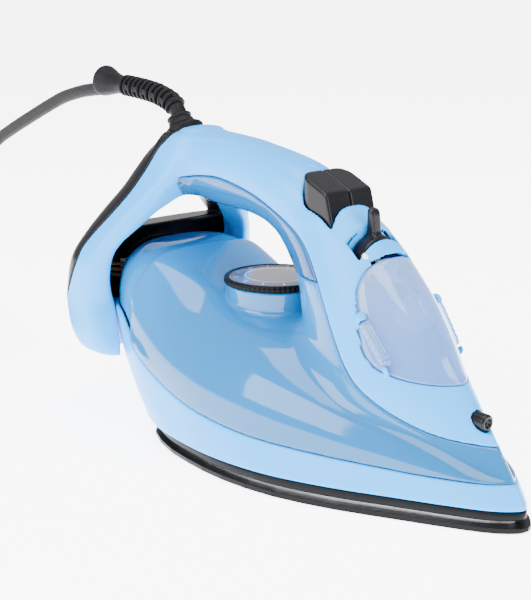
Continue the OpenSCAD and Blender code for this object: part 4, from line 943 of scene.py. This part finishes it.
# ---------------------------------------------------------------- moulded shells
EDGE_LINE = spline(EDGE, 6)
BLUE_OUTLINE = np.vstack([EDGE_LINE, [[150, 33], [150, 200], [-200, 200], [-200, -50], [-84, -50]]])
COVER_OUTLINE = np.vstack([spline(REAR, 6), [[-175, 44], [-175, 180], [-88, 180]]])
ARCH_LINE = spline(ARCH, 5)
ARCH_Z0, ARCH_SILL = 60.0, 103.5
POCKET_Z0, BUTTON_HALF = 111.2, 16.0
LID_TOP, LID_T = 112.3, 2.0


def grain_size(mm):
    return mm


def arch_field(L, z0):
    """Opening between the heel legs, from z0 up."""
    full = np.vstack([ARCH_LINE, [[0, ARCH_LINE[-1][1]]], [[-a, b] for a, b in ARCH_LINE[::-1]]])
    f = polygon_sdf(full, L.y[:, None], L.z[None, :])[None, :, :].astype(np.float32)
    return np.maximum(f, z0 - L.Z)


class Body:
    """Fields of the iron's whole outside on one lattice."""

    def __init__(self, L, arch_z0=ARCH_Z0):
        self.L = L
        self.zp = parting_heights(L)[1][:, :, None].astype(np.float32)
        self.dome = dome_field(L)
        self.column = smax(column_field(L), L.Z - 134, 2.0)
        # crisp towards the tip, then the soft fillet where the column stands on the dome
        foot = np.interp(L.z, [38, 62], [0.6, BEND])[None, None, :].astype(np.float32)
        self.stand = smin(self.column, self.dome, foot)
        self.grip = grip_field(L)
        self.hull = hull_field(L)
        self.heel = heel_field(L)
        self.arch = arch_field(L, arch_z0)
        self.legs = smax(self.heel, -self.arch, 3)
        # the legs run softly into the grip but stand crisply against the tank
        fade = np.interp(L.z, [100, 116], [0.5, 8])[None, None, :].astype(np.float32)
        self.all = smin(smin(self.stand, self.grip, 2.5), self.legs, fade)
        self.blue = side_sdf(L, BLUE_OUTLINE)
        self.cover = side_sdf(L, COVER_OUTLINE)
        self.floor = self.zp + GAP - L.Z
        self.lid = np.maximum(front_sdf(L, LID), LID_X0 - L.X)
        # room kept for the tank and hull between the legs
        clear = np.minimum(self.dome, np.maximum(self.hull, L.Z - self.zp - GAP)) - 0.4
        self.room = np.maximum(clear, L.X + 50)

    def without_room(self, f):
        return np.maximum(f, -self.room)

    def inner(self):
        """Hollow of the shells, which keeps a wall along the tank between the legs."""
        shell = np.maximum(self.all + WALL, WALL - self.room)
        return np.maximum(shell, np.where(self.L.X < -86, self.legs + WALL, -50))


def pocket_field(L, d):
    """Well for the button block, d wider all round; open at the top."""
    back, front, corner_x, corner_z = BUTTON[0][0], BUTTON[3][0], *BUTTON[2]
    p = [[back, POCKET_Z0], [back, 170], [corner_x, 170], [corner_x, corner_z], [front, BUTTON[3][1]],
         [front, POCKET_Z0]]
    return smax(side_sdf(L, p) - d, plan_field(L, BUTTON_HALF) - d, 0.8)


def plan_field(L, half):
    """Plan of the button block: square at the front, strongly rounded at the back."""
    back, r = BUTTON[0][0], 8.0
    x, y = back + r - L.X, np.abs(L.Y) - (half - r)
    corner = np.hypot(np.maximum(x, 0), np.maximum(y, 0)) - r
    return np.maximum(np.where(x > 0, corner, y - r), back - L.X)


DRUM_MID, DRUM_HALF = (DRUM_X0 + DRUM_X1) / 2, (DRUM_X1 - DRUM_X0) / 2


def drum_field(L, d):
    """The lever's drum, d bigger all round."""
    return np.maximum(np.hypot(L.Y, L.Z - DRUM_Z) - DRUM_R - d, np.abs(L.X - DRUM_MID) - DRUM_HALF - d)


def fairing(L, a, b, r):
    """Round bar of the lid's side tab between two shares of its length."""
    top, low = np.array(FAIR_TOP), np.array(FAIR_LOW)
    return capsule_field(L, top + a * (low - top), top + b * (low - top), r)


def upper_housing():
    L = Lattice((-145, 0, 20), (142, 62, 161), grain_size(0.75))
    b = Body(L)
    f = smax(smax(b.all, np.minimum(b.blue, b.heel), 0.8), GAP - b.cover, 0.8)
    # the legs reach down past the joint between skirt and tank
    f = b.without_room(np.maximum(f, np.minimum(b.floor, L.X + 60)))
    bosses = np.minimum(fairing(L, 0, 0.14, FAIR_R), fairing(L, 0.86, 1, FAIR_R))
    f = smin(f, bosses, 2.0)
    f = smax(f, -b.lid, 0.7)
    f = smax(f, -fairing(L, 0.15, 0.85, FAIR_R + GAP), 0.4)
    f = smax(f, -pocket_field(L, 0.4), 0.9)
    slot = np.maximum(np.abs(L.X - DRUM_MID) - DRUM_HALF - 0.6, np.abs(L.Y) - DRUM_R - SLOT_SIDE)
    slot = np.maximum(slot, DRUM_Z - L.Z)
    f = smax(f, -np.minimum(slot, drum_field(L, 0.6)), 1.0)
    # room for the lid's top edge to swing, as in the CAD part
    turn = np.hypot(L.X - HINGE_X, L.Z - HINGE_Z)
    for r, half in SWING_CUTS:
        f = np.maximum(f, -np.maximum(turn - r, L.Y - half))
    f = np.maximum(f, -rod_field(L, NOZZLE_AT, NOZZLE_TILT, NOZZLE_R + 0.2, -12, 18))
    f = np.maximum(f, -rod_field(L, GLAND_AT, GLAND_TILT, GLAND_R + GAP, -10, 30))
    hollow = np.maximum(b.inner(), -(pocket_field(L, 0.4) - 1.8))
    hollow = np.maximum(hollow, -np.maximum(drum_field(L, WALL), DRUM_Z + 4 - L.Z))
    f = np.maximum(f, -hollow)
    o = net_object("upper_housing_shell", f, L, BLUE)
    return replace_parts(o, "upper_housing")


def handle_insert():
    L = Lattice((-86, 0, 98), (36, 38, 152), grain_size(0.75))
    b = Body(L)
    f = smax(b.all, GAP - b.blue, 0.7)
    for cut in (100 - L.Z, L.X - 33, -83.5 - L.X, GAP - b.heel):
        f = np.maximum(f, cut)
    f = np.maximum(f, -(b.all + WALL))
    o = net_object("handle_insert_shell", f, L, INSERT)
    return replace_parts(o, "handle_insert")


def water_tank():
    L = Lattice((-128, 0, 19), (139, 61, 101.5), grain_size(0.8))
    b = Body(L)
    clear = smax(b.stand, L.Z - TANK_TOP, 1.0)
    f = np.minimum(smax(clear, GAP - b.blue, 0.7), clear + 2.7)
    # the recess behind the lid, 9 deep, which the inlet's neck stands in
    recess = np.maximum(np.maximum(front_sdf(L, LID, scale=0.94), LID_X0 - L.X), -(b.column + 9))
    f = smax(f, -recess, 1.2)
    r = np.hypot(L.X - DIAL_XY[0], L.Y)
    pedestal = np.maximum(np.maximum(r - 25, L.Z - DIAL_Z0 + 0.5), 60 - L.Z)    # carries the dial
    f = smin(f, pedestal, 2.5)
    f = smax(f, b.floor, 0.8)
    f = np.maximum(f, -rod_field(L, INLET_AT, INLET_TILT, INLET_HOLE_R, -12, 12))
    f = np.maximum(f, -rod_field(L, NOZZLE_AT, NOZZLE_TILT, NOZZLE_R + 0.2, -6, 14))
    hollow = np.maximum(clear + WALL, np.minimum(clear + 2 * WALL + GAP, WALL + GAP - b.blue))
    hollow = np.maximum(hollow, -(recess - WALL))
    f = np.maximum(f, -hollow)
    o = net_object("water_tank_shell", f, L, TANK)
    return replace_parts(o, "water_tank")


def lower_housing():
    L = Lattice((-123, 0, 9), (144, 63, 67), grain_size(0.8))
    hull = hull_field(L)
    zp = parting_heights(L)[1][:, :, None].astype(np.float32)
    f = smax(smax(hull, L.Z - zp, 0.9), 10 - L.Z, 1.2)
    f = np.maximum(f, -(hull + WALL))
    o = net_object("lower_housing_shell", f, L, BLUE)
    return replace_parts(o, "lower_housing")


def rear_cover():
    L = Lattice((-147, 0, 34), (-84, 62, 161), grain_size(0.75))
    b = Body(L, ARCH_SILL)
    f = smax(b.all, b.cover, 0.8)
    f = b.without_room(f)
    f = np.maximum(f, -rod_field(L, GLAND_AT, GLAND_TILT, GLAND_R + GAP, -10, 30))
    f = np.maximum(f, -b.inner())
    o = net_object("rear_cover_shell", f, L, BLACK)
    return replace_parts(o, "rear_cover")


def filler_lid():
    L = Lattice((49, 0, 57), (108, 32, 114), grain_size(0.5))
    b = Body(L)
    outline = np.maximum(front_sdf(L, LID, scale=0.987), LID_X0 - L.X)
    f = smax(np.maximum(b.stand, -(b.stand + LID_T)), outline, 0.8)
    f = smax(f, L.Z - LID_TOP, 0.5)
    # stiffening rib down the middle of the inner face
    spine = np.maximum(np.maximum(np.abs(L.Y) - 0.8, np.maximum(b.stand + 0.5, -(b.stand + 3.6))),
                       np.abs(L.Z - 84) - 19)
    f = np.minimum(f, spine)
    top, low = np.array(FAIR_TOP), np.array(FAIR_LOW)
    e = low - top
    t = ((L.X - top[0]) * e[0] + (L.Y - top[1]) * e[1] + (L.Z - top[2]) * e[2]) / (e @ e)
    ribs = 0.22 * np.cos(2 * math.pi * 9 * t)
    f = smin(f, fairing(L, 0.17, 0.83, FAIR_R - 0.35) - ribs, 0.8)
    o = net_object("filler_lid_shell", f, L, LID_CLEAR)
    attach(o, "lid")
    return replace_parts(o, "filler_lid")


# ---------------------------------------------------------------- controls and small pieces
def button(side, name, node, body):
    """Hollow cap of one button, with 0.3 between the two."""
    L = Lattice((6, -17, 118), (36, 17, 151), grain_size(0.45), half=False)
    mid, half = side * (BUTTON_HALF + 0.15) / 2, (BUTTON_HALF - 0.15) / 2
    face = side_sdf(L, rounded_closed(BUTTON, 1.6))
    f = smax(smax(face, np.abs(L.Y - mid) - half, 1.2), plan_field(L, BUTTON_HALF), 1.6)
    hollow = np.maximum(face + 2.2, np.abs(L.Y - mid) - half + 2.2)
    f = np.maximum(f, -np.maximum(hollow, L.Z - 138))
    o = net_object(name, f, L, BLACK)
    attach(o, body)
    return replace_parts(o, node)


SPRING_X, SPRING_Y, SPRING_SEAT = 24.0, 8.2, 102.8


def button_spring(side, name, node):
    """Helical spring under its button."""
    steps, sides, turns = 140, 10, 3.5
    wire, mid, z0, z1 = 0.3, 3.6, SPRING_SEAT + 0.3, SPRING_SEAT + 5.9
    a = np.linspace(0, 2 * math.pi * turns, steps + 1)
    q = np.arange(sides) * 2 * math.pi / sides
    r = mid + wire * np.cos(q)[None, :]
    z = np.linspace(z0, z1, steps + 1)[:, None] - wire * np.sin(q)[None, :]
    x, y = SPRING_X + r * np.cos(a)[:, None], side * SPRING_Y + r * np.sin(a)[:, None]
    verts = np.stack([x, y, z], -1).reshape(-1, 3)
    faces = [tuple(range(sides)), tuple(steps * sides + k for k in range(sides - 1, -1, -1))]
    faces += [tuple(f) for f in ring_quads(steps + 1, sides)[:, [0, 3, 2, 1]].tolist()]
    o = mesh_object(name, verts, faces, STEEL)
    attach(o, "iron")
    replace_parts(o, node)
    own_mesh(o)


def steam_lever():
    L = Lattice((38, 0, 88), (55, 17, 136), grain_size(0.4))
    fin = smax(side_sdf(L, rounded_closed(FIN, 1.2)), np.abs(L.Y) - 2.8, 1.5)
    fin = smax(fin, 117.5 - L.Z, 0.5)
    r = np.hypot(L.Y, L.Z - DRUM_Z)
    slab = np.abs(L.X - DRUM_MID) - DRUM_HALF
    drum = smax(smax(r - DRUM_R, slab, 1.0), -(r - DRUM_R + 1.8), 0.4)
    drum = np.maximum(drum, DRUM_Z + 3 - L.Z)
    hub = np.minimum(np.maximum(r - 3.6, slab), np.maximum(r - 2, slab - 3))
    web = np.maximum(np.abs(L.Y) - 1.2, np.abs(L.X - DRUM_MID) - 3)
    web = np.maximum(web, np.maximum(r - 13.4, DRUM_Z - L.Z))
    f = np.minimum(smin(fin, drum, 2.2), np.minimum(hub, web))
    o = net_object("steam_lever_detail", f, L, BLACK)
    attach(o, "lever")
    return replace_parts(o, "steam_lever")


def dial():
    """Knurled rim and flat cap of the temperature dial."""
    teeth, per = 64, 6
    n = teeth * per
    a = np.arange(n) * 2 * math.pi / n
    groove = np.array([0.0, 0.0, 0.0, 0.12, 0.42, 0.12])[np.arange(n) % per]
    z0, z1 = DIAL_Z0, DIAL_Z1
    # radius, height and depth of the grooves round the section
    rings = [(24.6, z0 + 0.1, 0), (26.4, z0, 0), (26.9, z0 + 0.4, 1), (27.0, z0 + 1.0, 1),
             (26.9, z1 - 1.1, 1), (26.5, z1 - 0.5, 0.8), (26.0, z1 - 0.15, 0.3), (25.5, z1 - 0.05, 0),
             (24.9, z1 - 0.05, 0), (24.6, z1 - 0.3, 0), (24.6, z0 + 1.0, 0)]
    verts = []
    for r, z, g in rings:
        rr = r - groove * g
        verts += list(zip(DIAL_XY[0] + rr * np.cos(a), DIAL_XY[1] + rr * np.sin(a), np.full(n, z)))
    rim = mesh_object("dial_rim_detail", verts, ring_quads(len(rings), n, closed=True), SATIN_BLACK)
    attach(rim, "dial")
    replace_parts(rim, "dial_rim")
    cap_profile = [(0, 0.4), (24.4, 0.4), (24.4, 2.4), (24.1, 2.95), (23.5, 3.2), (12, 3.34), (0, 3.4)]
    cap = lathe("dial_cap_detail", [(r, z0 + h) for r, h in cap_profile], DIAL_FACE,
                (DIAL_XY[0], DIAL_XY[1], 0.0), sides=128)
    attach(cap, "dial")
    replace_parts(cap, "dial_cap")


def hull_band(name, profile, mat):
    """Closed band round the hull's outline; profile of inset and height, in order round the section."""
    full = np.vstack([BOAT_LINE, BOAT_LINE[::-1][1:-1] * [1, -1]])
    verts, n = [], len(full)
    for inset, z in profile:
        x, y = hull_point(full, 0, -inset)
        verts += list(zip(x, y, np.full(n, z)))
    return mesh_object(name, verts, ring_quads(len(profile), n, closed=True)[:, [0, 3, 2, 1]], mat)


def heat_skirt():
    section = [(4.8, 5.7), (2.2, 5.65), (1.75, 5.9), (1.6, 6.6), (1.6, 8.9), (1.9, 9.6), (2.6, 9.8),
               (8.0, 9.8), (8.0, 8.6), (4.8, 8.2)]
    o = hull_band("heat_skirt_detail", section, SATIN_BLACK)
    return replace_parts(o, "heat_skirt")


def spray_nozzle():
    r, out = NOZZLE_R, 10.4
    profile = rounded([(0.7, -5), (r, -5), (r, out - 0.8), (r - 0.8, out), (2.3, out), (1.8, out - 1.2),
                       (0.7, out - 1.4)], 0.5)
    o = lathe("spray_nozzle_detail", profile, BLACK, NOZZLE_AT, NOZZLE_TILT, sides=48)
    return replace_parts(o, "spray_nozzle")


def indicator_lens():
    profile = [(0, -1.4), (1.75, -1.4), (1.75, -0.1), (1.6, 0.12), (1.2, 0.28), (0.6, 0.37), (0, 0.4)]
    o = lathe("indicator_lens_detail", profile, LENS, LAMP_AT, LAMP_TILT, sides=32)
    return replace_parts(o, "indicator_lens")


# ---------------------------------------------------------------- assembly
NODE_FINISH = {
    "sole_plate": SOLE, "sole_casting": CAST, "heating_element": STEEL, "steam_chamber_cover": STEEL,
    "tank_base": TANK, "filler_inlet": WHITE, "spray_hose": SILICONE, "steam_pump": WHITE,
    "spray_pump": WHITE, "steam_shot_hose": SILICONE, "pump_feed_hose": SILICONE,
    "valve_seal": SILICONE, "valve_seat": BRASS, "lever_bracket": WHITE, "thermostat": STEEL,
    "thermal_fuse": STEEL, "terminal_block": WHITE, "lead_wires": WIRE, "inner_harness": RUBBER,
    "cord_clamp": WHITE, "cord_clamp_screws": STEEL, "sole_screws": STEEL, "dial_shaft": WHITE,
    "steam_piston": WHITE, "spray_piston": WHITE, "valve_needle": STEEL, "filler_plug": WHITE,
    "lid_hinge_pin": STEEL, "lid_bracket": WHITE, "plug_pins": BRASS,
}


def finish_nodes():
    """Gives the CAD nodes that stay visible their own materials."""
    for name, finish in NODE_FINISH.items():
        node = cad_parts[name]
        node.data.materials.clear()
        node.data.materials.append(finish)


def mains_lead():
    lead, line = cord_coil_and_lead()
    collar, sleeve = cord_collar(), cord_sleeve()
    tie, plug_piece = cord_tie(), plug()
    for o in (lead, collar, sleeve, tie, plug_piece):
        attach(o, "iron")
    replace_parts(lead, "cord", "cord_coil")
    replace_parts(collar, "cord_collar")
    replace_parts(sleeve, "cord_sleeve")
    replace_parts(tie, "cord_tie")
    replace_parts(plug_piece, "plug_body")


def studio():
    def panel(name, at, aim, size, power, tint=(1, 1, 1)):
        data = bpy.data.lights.new(name, "AREA")
        data.shape = "RECTANGLE"
        data.size, data.size_y = size
        data.energy = power
        data.color = tint
        o = bpy.data.objects.new(name, data)
        bpy.context.scene.collection.objects.link(o)
        o.location = at
        o.rotation_euler = (Vector(aim) - Vector(at)).to_track_quat("-Z", "Y").to_euler()

    panel("softbox_left", (-0.15, -1.25, 0.75), (0.0, 0, 0.07), (0.9, 0.9), 30)
    panel("softbox_top", (0.1, -0.1, 1.3), (0, 0, 0), (1.2, 1.2), 34)
    panel("softbox_front", (1.3, 0.35, 0.55), (0.05, 0, 0.08), (0.6, 0.9), 16)
    world = bpy.data.worlds.new("studio")
    world.use_nodes = True
    put(world.node_tree.nodes["Background"], Color=(1, 1, 1, 1), Strength=1.1)
    bpy.context.scene.world = world

    def paper(nt, b):
        n = noise(nt, 3.0, 2.0)
        cloudy(nt, b, n.outputs["Fac"], [(0.3, (0.93, 0.93, 0.93)), (0.7, (0.95, 0.95, 0.95))])
        put(b, Roughness=0.8, Specular_IOR_Level=0.1, Emission_Color=(1, 1, 1, 1), Emission_Strength=5.5)

    s = 6000.0      # half side of the floor
    floor = mesh_object("floor", [(-s, -s, 0), (s, -s, 0), (s, s, 0), (-s, s, 0)], [(0, 1, 2, 3)],
                        material("paper", paper), smooth=False)


camera()
mains_lead()
studio()
for piece in (upper_housing(), handle_insert(), water_tank(), lower_housing(), rear_cover(),
              heat_skirt(), spray_nozzle(), indicator_lens()):
    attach(piece, "iron")
filler_lid()
button(-1, "steam_button_detail", "steam_button", "steam_button_set")
button(1, "spray_button_detail", "spray_button", "spray_button_set")
button_spring(-1, "steam_spring_detail", "steam_button_spring")
button_spring(1, "spray_spring_detail", "spray_button_spring")
steam_lever()
dial()
finish_nodes()
